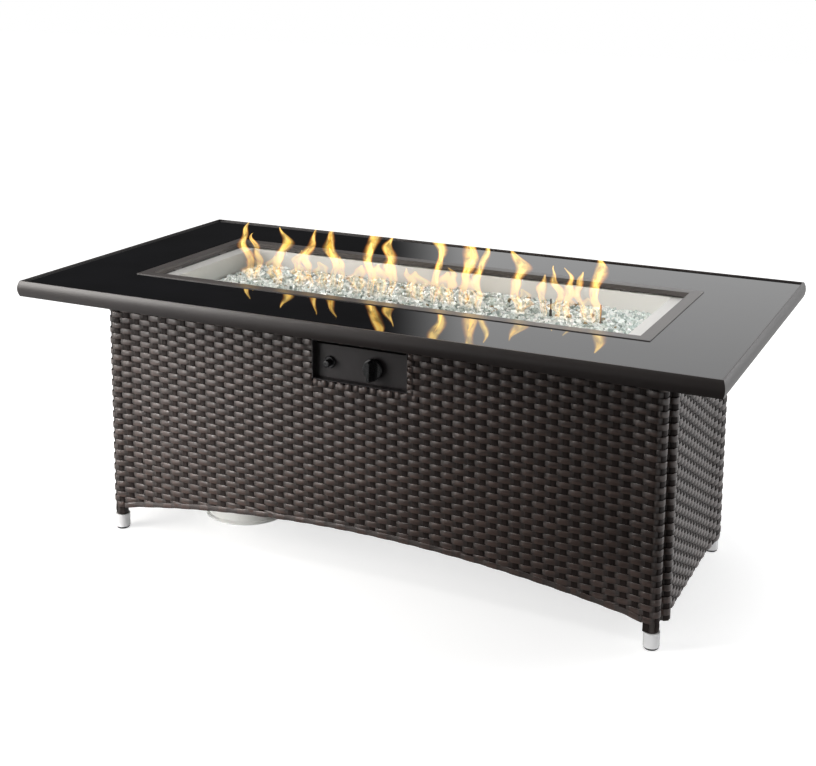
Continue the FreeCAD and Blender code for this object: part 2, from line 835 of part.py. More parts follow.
def control_knob():
    """A round knob with a tall pointer grip that tapers to the front."""
    centre = V(knob_x, knob_back_y, control_axis_z)
    face_y = knob_back_y - knob_disc
    disc = rod(knob_radius, centre, V(knob_x, face_y, control_axis_z))
    rim = [edge for edge in disc.Edges if abs(edge.BoundBox.YMin - face_y) < 0.01
           and edge.BoundBox.YLength < 0.01]
    disc = disc.makeFillet(knob_rim_radius, rim)
    front_y = face_y - knob_grip_depth

    def grip_outline(y, half_width_here, half_height_here):
        """A slim outline pointed at the top, in the plane at y."""
        point_z = control_axis_z + half_height_here
        corners = [
            V(knob_x - half_width_here, y, control_axis_z - half_height_here),
            V(knob_x + half_width_here, y, control_axis_z - half_height_here),
            V(knob_x + half_width_here, y, point_z - half_width_here),
            V(knob_x, y, point_z),
            V(knob_x - half_width_here, y, point_z - half_width_here),
        ]
        return Part.makePolygon(corners + corners[:1])

    back = grip_outline(knob_back_y - knob_grip_root, knob_grip_width / 2, knob_grip_height / 2)
    front = grip_outline(front_y, knob_grip_width / 2 - knob_grip_taper,
                         knob_grip_height / 2 - knob_grip_lean)
    grip = Part.makeLoft([back, front], True, True)
    knob = disc.fuse(grip)
    return knob.cut(valve_stem())


def igniter_body():
    """Battery housing behind the plate, threaded up to the nut in front of it."""
    tail = rod(igniter_body_radius, V(igniter_x, plate_back_y, control_axis_z),
               V(igniter_x, plate_back_y + igniter_body_length, control_axis_z))
    neck = rod(igniter_thread_radius, V(igniter_x, nut_front_y + igniter_nut_lip, control_axis_z),
               V(igniter_x, plate_back_y + 1, control_axis_z))
    well = rod(button_stem_radius + stem_clearance, V(igniter_x, nut_front_y, control_axis_z),
               V(igniter_x, plate_back_y + igniter_well_depth, control_axis_z))
    return tail.fuse(neck).cut(well)


def igniter_nut():
    """Round bezel nut that clamps the igniter to the plate."""
    nut = rod(igniter_nut_radius, V(igniter_x, nut_front_y, control_axis_z),
              V(igniter_x, plate_front_y, control_axis_z))
    front = [edge for edge in nut.Edges if abs(edge.BoundBox.YMax - nut_front_y) < 0.01]
    nut = nut.makeChamfer(igniter_nut_chamfer, front)
    mouth = rod(igniter_thread_radius, V(igniter_x, nut_front_y + igniter_nut_lip, control_axis_z),
                V(igniter_x, plate_front_y + 1, control_axis_z))
    hole = rod(button_stem_radius + button_mouth_gap, V(igniter_x, nut_front_y - 1, control_axis_z),
               V(igniter_x, nut_front_y + igniter_nut_lip + 1, control_axis_z))
    return nut.cut(mouth).cut(hole)


def igniter_button():
    """Domed push button on a stem that runs in the igniter body."""
    back_y = nut_front_y - button_travel - stem_end_gap
    front_y = back_y - button_length
    cap = rod(button_radius, V(igniter_x, front_y, control_axis_z),
              V(igniter_x, back_y, control_axis_z))
    edge = [e for e in cap.Edges if abs(e.BoundBox.YMax - front_y) < 0.01]
    cap = cap.makeFillet(button_edge_radius, edge)
    well_y = plate_back_y + igniter_well_depth
    stem = rod(button_stem_radius, V(igniter_x, back_y - 1, control_axis_z),
               V(igniter_x, well_y - button_travel - stem_end_gap, control_axis_z))
    return cap.fuse(stem)


knob_back_y = plate_front_y - knob_clearance
nut_front_y = plate_front_y - igniter_nut_length
save("control_surround", control_surround())
save("control_plate", control_plate())
save("valve_stem", valve_stem())
save("stem_collar", stem_collar())
save("control_knob", control_knob())
save("igniter_body", igniter_body())
save("igniter_nut", igniter_nut())
save("igniter_button", igniter_button())


# Legs with polished sleeves and levelling glides

def leg_tube():
    """The round tube of the front left leg."""
    return tube(leg_radius, leg_wall, V(-leg_x, -leg_y, leg_bottom_z),
                V(-leg_x, -leg_y, frame_bottom_z))


def foot_sleeve():
    """Polished sleeve over the foot of the leg."""
    return tube(sleeve_radius, sleeve_radius - leg_radius - sleeve_clearance,
                V(-leg_x, -leg_y, glide_height), V(-leg_x, -leg_y, wrap_bottom_z))


def leg_plug():
    """Threaded insert in the end of the leg that takes the stem of the glide."""
    low = leg_bottom_z + plug_recess
    high = low + plug_length
    plug = rod(leg_radius - leg_wall, V(-leg_x, -leg_y, low), V(-leg_x, -leg_y, high))
    return plug.cut(rod(glide_stem_radius + stem_clearance,
                        V(-leg_x, -leg_y, low - 1), V(-leg_x, -leg_y, high + 1)))


def leveling_glide():
    """Rubber-faced disc on a threaded stem."""
    edge = glide_radius
    top = glide_height - glide_gap
    profile = [(0, 0), (edge - glide_edge, 0), (edge, glide_edge), (edge, top),
               (glide_stem_radius, top), (glide_stem_radius, glide_stem_length),
               (0, glide_stem_length)]
    return turned(profile, -leg_x, -leg_y)


save("leg_tubes", *four_corners(leg_tube()))
save("foot_sleeves", *four_corners(foot_sleeve()))
save("leg_plugs", *four_corners(leg_plug()))
for place, glide in zip(("front_left", "front_right", "back_left", "back_right"),
                        four_corners(leveling_glide())):
    save("glide_" + place, glide)


# Long woven panels with an arched skirt, and their tubes

def arch_radius():
    """Radius of the circle through both springing points and the apex."""
    rise = arch_apex - arch_spring
    half_span = leg_x - wrap_radius
    return (half_span ** 2 + rise ** 2) / (2 * rise)


def arch_disc(extra, y0, y1):
    """The space under the arch, as a slice of a wide cylinder, grown by extra."""
    radius = arch_radius()
    centre_z = arch_apex - radius
    return rod(radius + extra, V(0, y0, centre_z), V(0, y1, centre_z))


def long_panel():
    """Front skin: woven sheet with an arched lower edge, rolled round both legs."""
    back_y = skin_front_y + skin_thickness
    sheet = box(-leg_x, leg_x, skin_front_y, back_y, wrap_bottom_z, frame_bottom_z)
    sheet = sheet.cut(arch_disc(0, skin_front_y - 1, back_y + 1))
    for side in (-1, 1):
        wrap = rod(wrap_radius, V(side * leg_x, -leg_y, wrap_bottom_z),
                   V(side * leg_x, -leg_y, frame_bottom_z))
        sheet = sheet.fuse(wrap)
    for side in (-1, 1):
        bore = rod(leg_radius, V(side * leg_x, -leg_y, 0), V(side * leg_x, -leg_y, table_height))
        sheet = sheet.cut(bore)
    return sheet


def arch_tube():
    """Bent square tube that stiffens the arched edge behind the skin."""
    inner_y = skin_front_y + skin_thickness
    outer_y = inner_y + edge_tube
    band = arch_disc(edge_tube, inner_y, outer_y)
    band = band.cut(arch_disc(0, inner_y - 1, outer_y + 1))
    hollow = arch_disc(edge_tube - frame_wall, inner_y + frame_wall, outer_y - frame_wall)
    hollow = hollow.cut(arch_disc(frame_wall, inner_y, outer_y))
    reach = leg_x - wrap_radius - tube_end_gap
    return band.cut(hollow).common(box(-reach, reach, inner_y, outer_y, 0, table_height))


def top_tube_long():
    """Straight tube under the top, between the two legs."""
    inner_y = skin_front_y + skin_thickness
    reach = leg_x - wrap_radius - tube_end_gap
    return square_tube(-reach, reach, inner_y, inner_y + top_tube,
                       tube_bottom_z, frame_bottom_z, "x")


front_panel = long_panel()
back_panel = mirrored(front_panel, Y_AXIS)
cutout = box(control_low_x - panel_clearance, control_high_x + panel_clearance,
             skin_front_y - 1, skin_front_y + skin_thickness + 1,
             control_bottom - control_sheet - panel_clearance, control_top + panel_clearance)
save("panel_front", front_panel.cut(cutout))
save("panel_back", back_panel)
save("arch_tubes", arch_tube(), mirrored(arch_tube(), Y_AXIS))
save("top_tubes_long", top_tube_long(), mirrored(top_tube_long(), Y_AXIS))


# End panels: a fixed one on the right and the access door on the left

def end_panel(high):
    """Woven sheet on a frame of round tubes at the right-hand end, up to the height high."""
    outer_x = skin_side_x
    low = skirt_side_bottom
    sheet = box(outer_x - skin_thickness, outer_x, -post_y, post_y, low, high)
    for side in (-1, 1):
        sheet = sheet.fuse(rod(side_post_radius, V(post_x, side * post_y, low),
                               V(post_x, side * post_y, high)))
    for z in (low + side_rail_radius, high - side_rail_radius):
        sheet = sheet.fuse(rod(side_rail_radius, V(side_rail_x, -post_y, z),
                               V(side_rail_x, post_y, z)))
    return sheet


def access_door():
    """The left-hand end panel, with bores for its hinge pins in the rear post."""
    door = mirrored(end_panel(panel_top_z), X_AXIS)
    for z0, z1 in ((skirt_side_bottom - 1, skirt_side_bottom + hinge_pin_depth),
                   (panel_top_z - hinge_pin_depth, panel_top_z + 1)):
        door = door.cut(rod(hinge_pin_radius, V(-post_x, post_y, z0), V(-post_x, post_y, z1)))
    return door


def end_tube():
    """Straight tube under the top at the right-hand end."""
    outer_x = leg_x + leg_radius
    reach = leg_y - wrap_radius - tube_end_gap
    return square_tube(outer_x - top_tube, outer_x, -reach, reach,
                       tube_bottom_z, frame_bottom_z, "y")


def hinge_bracket(z0):
    """Plate from the rear left leg that carries one hinge pin."""
    reach = hinge_plate_width / 2
    run = V(post_x - leg_x, leg_y - post_y, 0)
    bar = box(0, run.Length - wrap_radius + hinge_plate_weld, -reach, reach,
              z0, z0 + hinge_plate)
    bar = bar.fuse(rod(reach, V(0, 0, z0), V(0, 0, z0 + hinge_plate)))
    bar.rotate(V(0, 0, 0), Z_AXIS, math.degrees(math.atan2(run.y, run.x)))
    bar.translate(V(-post_x, post_y, 0))
    bar = bar.cut(rod(wrap_radius, V(-leg_x, leg_y, z0 - 1), V(-leg_x, leg_y, z0 + hinge_plate + 1)))
    return bar.cut(rod(hinge_pin_radius + hinge_pin_clearance, V(-post_x, post_y, z0 - 1),
                       V(-post_x, post_y, z0 + hinge_plate + 1)))


def hinge_pin(z0, z1):
    """Steel pin fixed in the door post."""
    return rod(hinge_pin_radius, V(-post_x, post_y, z0), V(-post_x, post_y, z1))


def door_catch():
    """Magnetic catch fixed to the inner face of the end tube, over the strike plate."""
    near = side_rail_radius - side_rail_x + panel_clearance + strike_sheet
    tube_face = -(leg_x + leg_radius - top_tube)
    high_y = catch_low_y + catch_length
    magnet = box(near, near + catch_depth, catch_low_y, high_y,
                 panel_top_z - catch_height, tube_bottom_z)
    plate = box(tube_face, near + catch_depth, catch_low_y, high_y,
                tube_bottom_z, frame_bottom_z - frame_wall)
    return magnet.fuse(plate)


def strike_plate():
    """Steel strip on the inside of the door that the magnet holds."""
    near = side_rail_radius - side_rail_x
    return box(near, near + strike_sheet, catch_low_y, catch_low_y + catch_length,
               panel_top_z - catch_height + strike_margin, panel_top_z - strike_margin)


catch_low_y = -post_y + catch_setback
lower_hinge_z = skirt_side_bottom - hinge_plate - panel_clearance
upper_hinge_z = panel_top_z + panel_clearance
right_tube = end_tube()
save("panel_right", end_panel(tube_bottom_z))
save("access_door", access_door())
save("end_tubes", right_tube, mirrored(right_tube, X_AXIS))
save("hinge_brackets", hinge_bracket(lower_hinge_z), hinge_bracket(upper_hinge_z))
save("hinge_pins",
     hinge_pin(lower_hinge_z, skirt_side_bottom + hinge_pin_depth),
     hinge_pin(panel_top_z - hinge_pin_depth, upper_hinge_z + hinge_plate - hinge_pin_end_gap))
save("door_catch", door_catch())
save("strike_plate", strike_plate())


# Gas cylinder that stands on the floor inside the left-hand half of the base

def cylinder_outline(inset):
    """Solid of the vessel: a straight wall, tight knuckles and shallow crowned ends."""
    radius = cylinder_radius - inset
    low = cylinder_bottom + cylinder_dome
    high = shoulder_z - cylinder_dome
    knuckle = cylinder_knuckle - inset
    diagonal = knuckle * math.sqrt(0.5)
    crown = cylinder_dome - inset

    def point(r, z):
        return V(cylinder_x + r, cylinder_y, z)

    def end(base, sign):
        """Knuckle arc, crown arc and the flat boss on the axis, from the wall inwards."""
        start = point(radius, base)
        shoulder = point(radius - knuckle + diagonal, base + sign * diagonal)
        meet = point(radius - knuckle, base + sign * knuckle)
        rim = point(boss_radius, base + sign * crown)
        flat = point(0, base + sign * crown)
        span = rim - meet
        square = V(abs(span.z), 0, sign * abs(span.x)).normalize()
        bow = meet + span * 0.5 + square * (crown_bow * span.Length)
        return [
            Part.Arc(start, shoulder, meet).toShape(),
            Part.Arc(meet, bow, rim).toShape(),
            Part.makeLine(rim, flat),
        ]

    edges = end(high, 1) + end(low, -1)
    edges.append(Part.makeLine(point(radius, low), point(radius, high)))
    edges.append(Part.makeLine(point(0, low - crown), point(0, high + crown)))
    outline = Part.Face(Part.Wire(Part.__sortEdges__(edges)))
    return outline.revolve(V(cylinder_x, cylinder_y, 0), Z_AXIS, 360)


def cylinder_foot(shell):
    """Foot ring rolled outward at the floor, welded to the lower end."""
    top = cylinder_bottom + foot_ring_lap
    inside = foot_ring_radius - foot_sheet
    profile = [
        (inside, 0), (inside, top), (foot_ring_radius, top),
        (foot_ring_radius, foot_sheet + foot_curl_height), (foot_radius, foot_curl_height),
        (foot_radius, 0),
    ]
    return turned(profile, cylinder_x, cylinder_y).cut(shell)


def cylinder_collar(shell):
    """Guard round the valve with two hand grips, open where the outlet faces."""
    low = shoulder_z - collar_lap
    profile = [
        (collar_radius - collar_sheet, low), (collar_radius, low),
        (collar_radius, collar_top - collar_curl), (collar_radius + collar_curl, collar_top),
        (collar_radius - collar_sheet, collar_top),
    ]
    collar = turned(profile, cylinder_x, cylinder_y)
    reach = collar_radius + collar_curl + 1
    front = box(cylinder_x - collar_opening / 2, cylinder_x + collar_opening / 2,
                cylinder_y - reach, cylinder_y, shoulder_z - collar_sill, collar_top + 1)
    grip_top = collar_top - grip_drop
    grips = box(cylinder_x - reach, cylinder_x + reach,
                cylinder_y - grip_length / 2, cylinder_y + grip_length / 2,
                grip_top - grip_height, grip_top)
    return faced(collar.cut(front).cut(grips).cut(shell))


def cylinder_valve():
    """Brass valve with a threaded outlet to one side and a bonnet for the handwheel."""
    low, high = shoulder_z, shoulder_z + tank_valve_height
    axis_z = shoulder_z + outlet_rise
    waist = tank_valve_radius - 2
    bonnet = tank_valve_radius - 4
    profile = [
        (0, low), (waist, low), (waist, axis_z - tank_valve_radius + 1),
        (tank_valve_radius, axis_z - tank_valve_radius + 3),
        (tank_valve_radius, axis_z + tank_valve_radius - 1),
        (bonnet, axis_z + tank_valve_radius + 3), (bonnet, high), (0, high),
    ]
    body = turned(profile, cylinder_x, cylinder_y)
    mouth_y = cylinder_y - tank_valve_radius - outlet_reach - outlet_length
    outlet = rod(outlet_radius, V(cylinder_x, mouth_y, axis_z),
                 V(cylinder_x, mouth_y + outlet_length, axis_z))
    neck = rod(outlet_neck_radius, V(cylinder_x, mouth_y + outlet_length - 1, axis_z),
               V(cylinder_x, cylinder_y, axis_z))
    bore = rod(outlet_bore, V(cylinder_x, mouth_y - 1, axis_z),
               V(cylinder_x, cylinder_y, axis_z))
    spindle = rod(stem_radius, V(cylinder_x, cylinder_y, high - 1),
                  V(cylinder_x, cylinder_y, high + handwheel_height - handwheel_crown - 1))
    return faced(body.fuse(outlet).fuse(neck).fuse(spindle).cut(bore))


def handwheel():
    """Five-lobed wheel on the spindle of the valve."""
    low = shoulder_z + tank_valve_height + handwheel_clearance
    lobe_way = handwheel_radius - handwheel_lobe
    wheel = rod(handwheel_radius - handwheel_lobe * 2 / 3, V(cylinder_x, cylinder_y, low),
                V(cylinder_x, cylinder_y, low + handwheel_height))
    for index in range(5):
        angle = math.radians(72 * index)
        x = cylinder_x + lobe_way * math.cos(angle)
        y = cylinder_y + lobe_way * math.sin(angle)
        wheel = wheel.fuse(rod(handwheel_lobe, V(x, y, low), V(x, y, low + handwheel_height)))
    seat = rod(stem_radius + stem_clearance, V(cylinder_x, cylinder_y, low - 1),
               V(cylinder_x, cylinder_y, low + handwheel_height - handwheel_crown))
    return wheel.cut(seat)


def faced(shape):
    """The shape, made with its front towards -Y, turned so that the outlet faces the door."""
    shape.rotate(V(cylinder_x, cylinder_y, 0), Z_AXIS, outlet_turn)
    return shape


shell = cylinder_outline(0)
save("cylinder_shell", shell.cut(cylinder_outline(cylinder_wall)))
save("cylinder_foot", cylinder_foot(shell))
save("cylinder_collar", cylinder_collar(shell))
save("cylinder_valve", cylinder_valve())
save("handwheel", handwheel())
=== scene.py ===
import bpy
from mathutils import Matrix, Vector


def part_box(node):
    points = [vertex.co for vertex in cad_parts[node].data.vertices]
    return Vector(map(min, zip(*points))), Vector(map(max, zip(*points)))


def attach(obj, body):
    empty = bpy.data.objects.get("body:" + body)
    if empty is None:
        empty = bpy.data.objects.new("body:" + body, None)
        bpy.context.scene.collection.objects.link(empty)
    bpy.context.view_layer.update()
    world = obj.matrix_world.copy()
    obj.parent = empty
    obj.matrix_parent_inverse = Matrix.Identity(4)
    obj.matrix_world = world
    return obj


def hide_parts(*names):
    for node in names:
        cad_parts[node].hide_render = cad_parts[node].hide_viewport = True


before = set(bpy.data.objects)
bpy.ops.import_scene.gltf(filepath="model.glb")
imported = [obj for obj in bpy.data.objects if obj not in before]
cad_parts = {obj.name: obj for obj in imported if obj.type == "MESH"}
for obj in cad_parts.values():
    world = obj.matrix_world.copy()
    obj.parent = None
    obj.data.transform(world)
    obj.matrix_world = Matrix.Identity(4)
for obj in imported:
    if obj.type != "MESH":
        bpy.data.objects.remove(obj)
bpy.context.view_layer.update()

import math

import bpy
import numpy as np
from mathutils import Matrix, Vector

# Camera. It looks down a little, from the right of the table and above it, and its lens
# is shifted down for the rest, which keeps the legs nearly upright in the picture.
camera_place = Vector((1.2130, -2.5702, 1.2808))
camera_heading = math.radians(25.584)
camera_pitch = math.radians(9.811)
camera_roll = math.radians(0.455)
focal_share = 1360.88 / 816
lens_shift = -0.24

forward = Vector((-math.sin(camera_heading) * math.cos(camera_pitch),
                  math.cos(camera_heading) * math.cos(camera_pitch),
                  -math.sin(camera_pitch)))
level_right = forward.cross(Vector((0, 0, 1))).normalized()
level_up = level_right.cross(forward)
tilted_right = level_right * math.cos(camera_roll) + level_up * math.sin(camera_roll)
tilted_up = level_up * math.cos(camera_roll) - level_right * math.sin(camera_roll)
lens = bpy.data.cameras.new("camera")
lens.sensor_width = 36
lens.lens = 36 * focal_share
lens.shift_y = lens_shift
lens.clip_start = 0.05
lens.clip_end = 60
camera = bpy.data.objects.new("camera", lens)
facing = Matrix((tilted_right, tilted_up, -forward)).transposed().to_4x4()
camera.matrix_world = Matrix.Translation(camera_place) @ facing
bpy.context.scene.collection.objects.link(camera)
bpy.context.scene.camera = camera
bpy.context.scene.view_settings.view_transform = "Standard"


# Studio. A white surround, with a black flag on the left behind the table that keeps light
# off the polished glass, dark in front of it on the right, and large soft lights round it.

def node_tree(owner):
    """The empty node tree of a material or world, with a function that adds a node."""
    owner.use_nodes = True
    tree = owner.node_tree
    tree.nodes.clear()

    def add(kind, **values):
        """A node of this kind: a value is a socket's where it has one of that name."""
        node = tree.nodes.new("ShaderNode" + kind)
        for name, value in values.items():
            title = name.replace("_", " ")
            if title in node.inputs:
                node.inputs[title].default_value = value
            else:
                setattr(node, name, value)
        return node

    return tree, add


def join(tree, start, end):
    """A link between two sockets."""
    tree.links.new(start, end)


def arithmetic(tree, add, operation, first, second):
    """A Math node on two inputs, each a socket or a number."""
    node = add("Math", operation=operation)
    for index, value in enumerate((first, second)):
        if isinstance(value, (int, float)):
            node.inputs[index].default_value = value
        else:
            join(tree, value, node.inputs[index])
    return node.outputs[0]


def eased(tree, add, value, low, high, start=0.0, end=1.0, curve="SMOOTHSTEP"):
    """Smooth step, or another curve, of a value from start at low to end at high."""
    node = add("MapRange", interpolation_type=curve, From_Min=low, From_Max=high,
               To_Min=start, To_Max=end)
    join(tree, value, node.inputs["Value"])
    return node.outputs["Result"]


def blended(tree, add, share, first, second):
    """A mix of the outputs of two shaders; share is the second one's."""
    node = add("MixShader")
    for index, value in enumerate((share, first, second)):
        join(tree, value, node.inputs[index])
    return node.outputs[0]


surround_light = 0.20
flag_heading = math.radians(24.3)
flag_softness = 0.040
flag_darkness = 0.03
# The rest is what polished faces mirror: how light each side is, and the x, y or z of a
# direction between which one side gives way to the next.
front_left_light, front_right_light = 0.50, 0.02
front_turn = (-0.85, -0.50)
back_turn = (-0.25, 0.15)
ceiling_light = 0.75
ceiling_turn = (0.42, 0.75)

world = bpy.data.worlds.new("studio")
bpy.context.scene.world = world
tree, add = node_tree(world)
direction = add("TexCoord").outputs["Generated"]
split = add("SeparateXYZ")
join(tree, direction, split.inputs[0])
along_x = arithmetic(tree, add, "MULTIPLY", split.outputs["X"], -math.cos(flag_heading))
along_y = arithmetic(tree, add, "MULTIPLY", split.outputs["Y"], -math.sin(flag_heading))
leftness = arithmetic(tree, add, "ADD", along_x, along_y)
beyond_flag = eased(tree, add, leftness, -flag_softness, flag_softness, 1.0, flag_darkness)
behind = eased(tree, add, split.outputs["Y"], *back_turn)
front_wall = eased(tree, add, split.outputs["X"], *front_turn, front_left_light,
                   front_right_light)
front_part = arithmetic(tree, add, "MULTIPLY", front_wall,
                        arithmetic(tree, add, "SUBTRACT", 1.0, behind))
back_part = arithmetic(tree, add, "MULTIPLY", beyond_flag, behind)
walls = arithmetic(tree, add, "ADD", front_part, back_part)
ceiling = eased(tree, add, split.outputs["Z"], *ceiling_turn, 0.0, ceiling_light)
mirrored_light = arithmetic(tree, add, "MAXIMUM", walls, ceiling)
path = add("LightPath")
seen = arithmetic(tree, add, "MAXIMUM", path.outputs["Is Camera Ray"],
                  path.outputs["Is Transmission Ray"])
diffuse = add("Background", Color=(1.0, 0.99, 0.98, 1), Strength=surround_light)
mirrored = add("Background", Color=(1.0, 1.0, 1.0, 1))
join(tree, mirrored_light, mirrored.inputs["Strength"])
backdrop_white = add("Background", Color=(1, 1, 1, 1), Strength=1.0)
unseen = blended(tree, add, path.outputs["Is Glossy Ray"], diffuse.outputs[0],
                 mirrored.outputs[0])
surround = blended(tree, add, seen, unseen, backdrop_white.outputs[0])
join(tree, surround, add("OutputWorld").inputs["Surface"])


def softbox(name, place, aim, width, height, power, tint, spread=180):
    """A rectangular lamp that faces a point of the table; spread is its beam in degrees."""
    lamp = bpy.data.lights.new(name, "AREA")
    lamp.shape = "RECTANGLE"
    lamp.size, lamp.size_y = width, height
    lamp.energy = power
    lamp.color = tint
    lamp.spread = math.radians(spread)
    stand = bpy.data.objects.new(name, lamp)
    stand.location = place
    turn = (Vector(aim) - Vector(place)).to_track_quat("-Z", "Y")
    stand.rotation_euler = turn.to_euler()
    bpy.context.scene.collection.objects.link(stand)
    stand.visible_camera = False


softbox("left_softbox", (-1.8, -1.4, 0.85), (-0.65, -0.2, 0.26), 1.3, 1.3, 6.7,
        (1, 0.97, 0.94), 52)
softbox("high_softbox", (-0.8, -0.9, 2.2), (-0.1, -0.3, 0.58), 0.9, 0.9, 18, (1, 0.99, 0.97))
softbox("low_softbox", (-1.0, -1.9, 0.22), (-0.33, 0, 0.04), 0.4, 0.2, 0.5, (1, 1, 0.99), 36)
softbox("foot_softbox", (1.1, -1.7, 0.12), (0.61, -0.24, 0.0), 0.3, 0.1, 0.06, (1, 1, 1), 10)
softbox("right_softbox", (3.2, 2.2, 1.3), (0.6, 0, 0.3), 1.6, 2.0, 48, (0.98, 0.99, 1))
softbox("top_softbox", (0.3, 0.4, 3.2), (0.1, 0, 0.5), 2.2, 1.4, 33, (1, 1, 1))
softbox("well_softbox", (0.80, -0.75, 1.20), (0.52, 0.20, 0.52), 0.4, 0.3, 0.5, (1, 1, 1), 40)

floor_half = 14.0
floor_grey = (0.60, 0.60, 0.60, 1)
# Its glow is lower under the table, a painted shadow there, and rises to full between
# these distances from the middle.
shade_reach = (0.5, 1.2)
shade_glow = 0.67
# How light it is in a mirror: from this x or y to that one, and the light at each.
mirrored_right = (0.75, 1.5, 0.0, 0.8)
mirrored_left = (-1.5, -0.25, 1.0, 0.03)
mirrored_back = (-0.5, 0.1, 0.0, 0.8)
floor_mesh = bpy.data.meshes.new("floor")
floor_mesh.from_pydata([(-floor_half, -floor_half, 0), (floor_half, -floor_half, 0),
                        (floor_half, floor_half, 0), (-floor_half, floor_half, 0)],
                       [], [(0, 1, 2, 3)])
floor = bpy.data.objects.new("floor", floor_mesh)
bpy.context.scene.collection.objects.link(floor)
floor_paint = bpy.data.materials.new("floor_white")
tree, add = node_tree(floor_paint)
path = add("LightPath")
lit = add("BsdfDiffuse", Color=floor_grey)
glow = add("Emission", Color=(1, 1, 1, 1))
floor_place = add("TexCoord").outputs["Object"]
from_table = add("VectorMath", operation="LENGTH")
join(tree, floor_place, from_table.inputs[0])
join(tree, eased(tree, add, from_table.outputs["Value"], *shade_reach, shade_glow, 1.0),
     glow.inputs["Strength"])
bright = add("AddShader")
join(tree, lit.outputs[0], bright.inputs[0])
join(tree, glow.outputs[0], bright.inputs[1])
spot = add("SeparateXYZ")
join(tree, floor_place, spot.inputs[0])
right_share = eased(tree, add, spot.outputs["X"], *mirrored_right)
left_share = eased(tree, add, spot.outputs["X"], *mirrored_left)
back_share = eased(tree, add, spot.outputs["Y"], *mirrored_back)
mirrored_floor = arithmetic(tree, add, "MAXIMUM", left_share,
                            arithmetic(tree, add, "MAXIMUM", right_share, back_share))
mirror_glow = add("Emission", Color=(1, 1, 1, 1))
join(tree, mirrored_floor, mirror_glow.inputs["Strength"])
seen = arithmetic(tree, add, "MAXIMUM", path.outputs["Is Camera Ray"],
                  path.outputs["Is Transmission Ray"])
unmirrored = blended(tree, add, seen, lit.outputs[0], bright.outputs[0])
painted = blended(tree, add, path.outputs["Is Glossy Ray"], unmirrored, mirror_glow.outputs[0])
join(tree, painted, add("OutputMaterial").inputs["Surface"])
floor_mesh.materials.append(floor_paint)


# Rail. Four lengths of extruded aluminium, mitred round the glass, with a bowed outer
# face and a satin bronze-black powder coat that shows a fine orange-peel grain.

noise_range = (0.3, 0.7)
least_roughness = 0.02


def noise(tree, add, where, scale, detail, stretch=None, roughness=0.5):
    """The value of a noise at a place, with the place stretched first if it is asked for."""
    if stretch is not None:
        mapping = add("Mapping", Scale=stretch)
        join(tree, where, mapping.inputs["Vector"])
        where = mapping.outputs[0]
    node = add("TexNoise", Scale=scale, Detail=detail, Roughness=roughness)
    join(tree, where, node.inputs["Vector"])
    return node.outputs["Fac"]


def surfaced(tree, add, surface, height, strength, distance):
    """Ends a material with this shader, whose bump is the height times the distance."""
    bump = add("Bump", Strength=strength, Distance=distance)
    join(tree, height, bump.inputs["Height"])
    join(tree, bump.outputs[0], surface.inputs["Normal"])
    join(tree, surface.outputs[0], add("OutputMaterial").inputs["Surface"])


def finish_material(name, colour, roughness, metal=0.0, gloss=0.5, grain=900.0,
                    grain_depth=0.02, grain_stretch=(1, 1, 1), mottle=0.12, smudge=0.10):
    """A finish with mottled colour, uneven roughness and a fine grain in its bump.

    Colour is the base times 1 plus or minus mottle, roughness is the base times 1 plus or
    minus smudge, both from noise, and the bump is a noise of its own scale and stretch.
    """
    material = bpy.data.materials.new(name)
    tree, add = node_tree(material)
    surface = add("BsdfPrincipled", Metallic=metal, Specular_IOR_Level=gloss)
    where = add("TexCoord").outputs["Object"]
    broad = noise(tree, add, where, 9.0, 3.0)
    fine = noise(tree, add, where, grain, 2.0, grain_stretch)
    tint = add("MixRGB", blend_type="MULTIPLY", Fac=1.0, Color1=(*colour, 1))
    tone = eased(tree, add, broad, *noise_range, 1 - mottle, 1 + mottle, "LINEAR")
    join(tree, tone, tint.inputs["Color2"])
    join(tree, tint.outputs[0], surface.inputs["Base Color"])
    rough = eased(tree, add, fine, *noise_range, max(least_roughness, roughness * (1 - smudge)),
                  roughness * (1 + smudge), "LINEAR")
    join(tree, rough, surface.inputs["Roughness"])
    surfaced(tree, add, surface, fine, grain_depth, 0.0006)
    return material


def dress(material, *nodes):
    """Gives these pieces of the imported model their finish."""
    for node in nodes:
        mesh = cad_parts[node].data
        mesh.materials.clear()
        mesh.materials.append(material)


rail_coat = finish_material("rail_coat", (0.026, 0.021, 0.020), 0.38, gloss=0.55,
                            grain=1400, grain_depth=0.05)
frame_coat = finish_material("frame_coat", (0.035, 0.028, 0.025), 0.45, grain=1200)
cast_metal = finish_material("cast_metal", (0.55, 0.55, 0.55), 0.5, metal=0.9, grain=500,
                             grain_depth=0.15)
dress(rail_coat, "rail_front", "rail_back", "rail_left", "rail_right")
dress(cast_metal, "corner_keys")
dress(frame_coat, "cross_rails", "long_rails")


# Glass top. Eight millimetre tempered glass, painted black on its underside, so the
# polished face mirrors the room. It lies on soft black pads in the rail.

glass_polish = finish_material("glass_polish", (0.004, 0.004, 0.005), 0.025, gloss=0.5,
                               grain=60, grain_depth=0.0, mottle=0.3, smudge=0.35)
pad_rubber = finish_material("pad_rubber", (0.015, 0.015, 0.015), 0.8, grain=700,
                             grain_depth=0.2)
dress(glass_polish, "glass_top")
dress(pad_rubber, "glass_pads")


# Burner trim. A folded frame of dark coated sheet that lies on the glass round the
# well, held off the pan by small spacers.

trim_coat = finish_material("trim_coat", (0.060, 0.053, 0.051), 0.34, gloss=0.6,
                            grain=1500, grain_depth=0.04)
dress(trim_coat, "trim_front", "trim_back", "trim_left", "trim_right", "pan_spacers")


# Burner pan, tube and saddles. Folded and welded stainless sheet, brushed lengthways,
# with the straw tint that heat leaves.

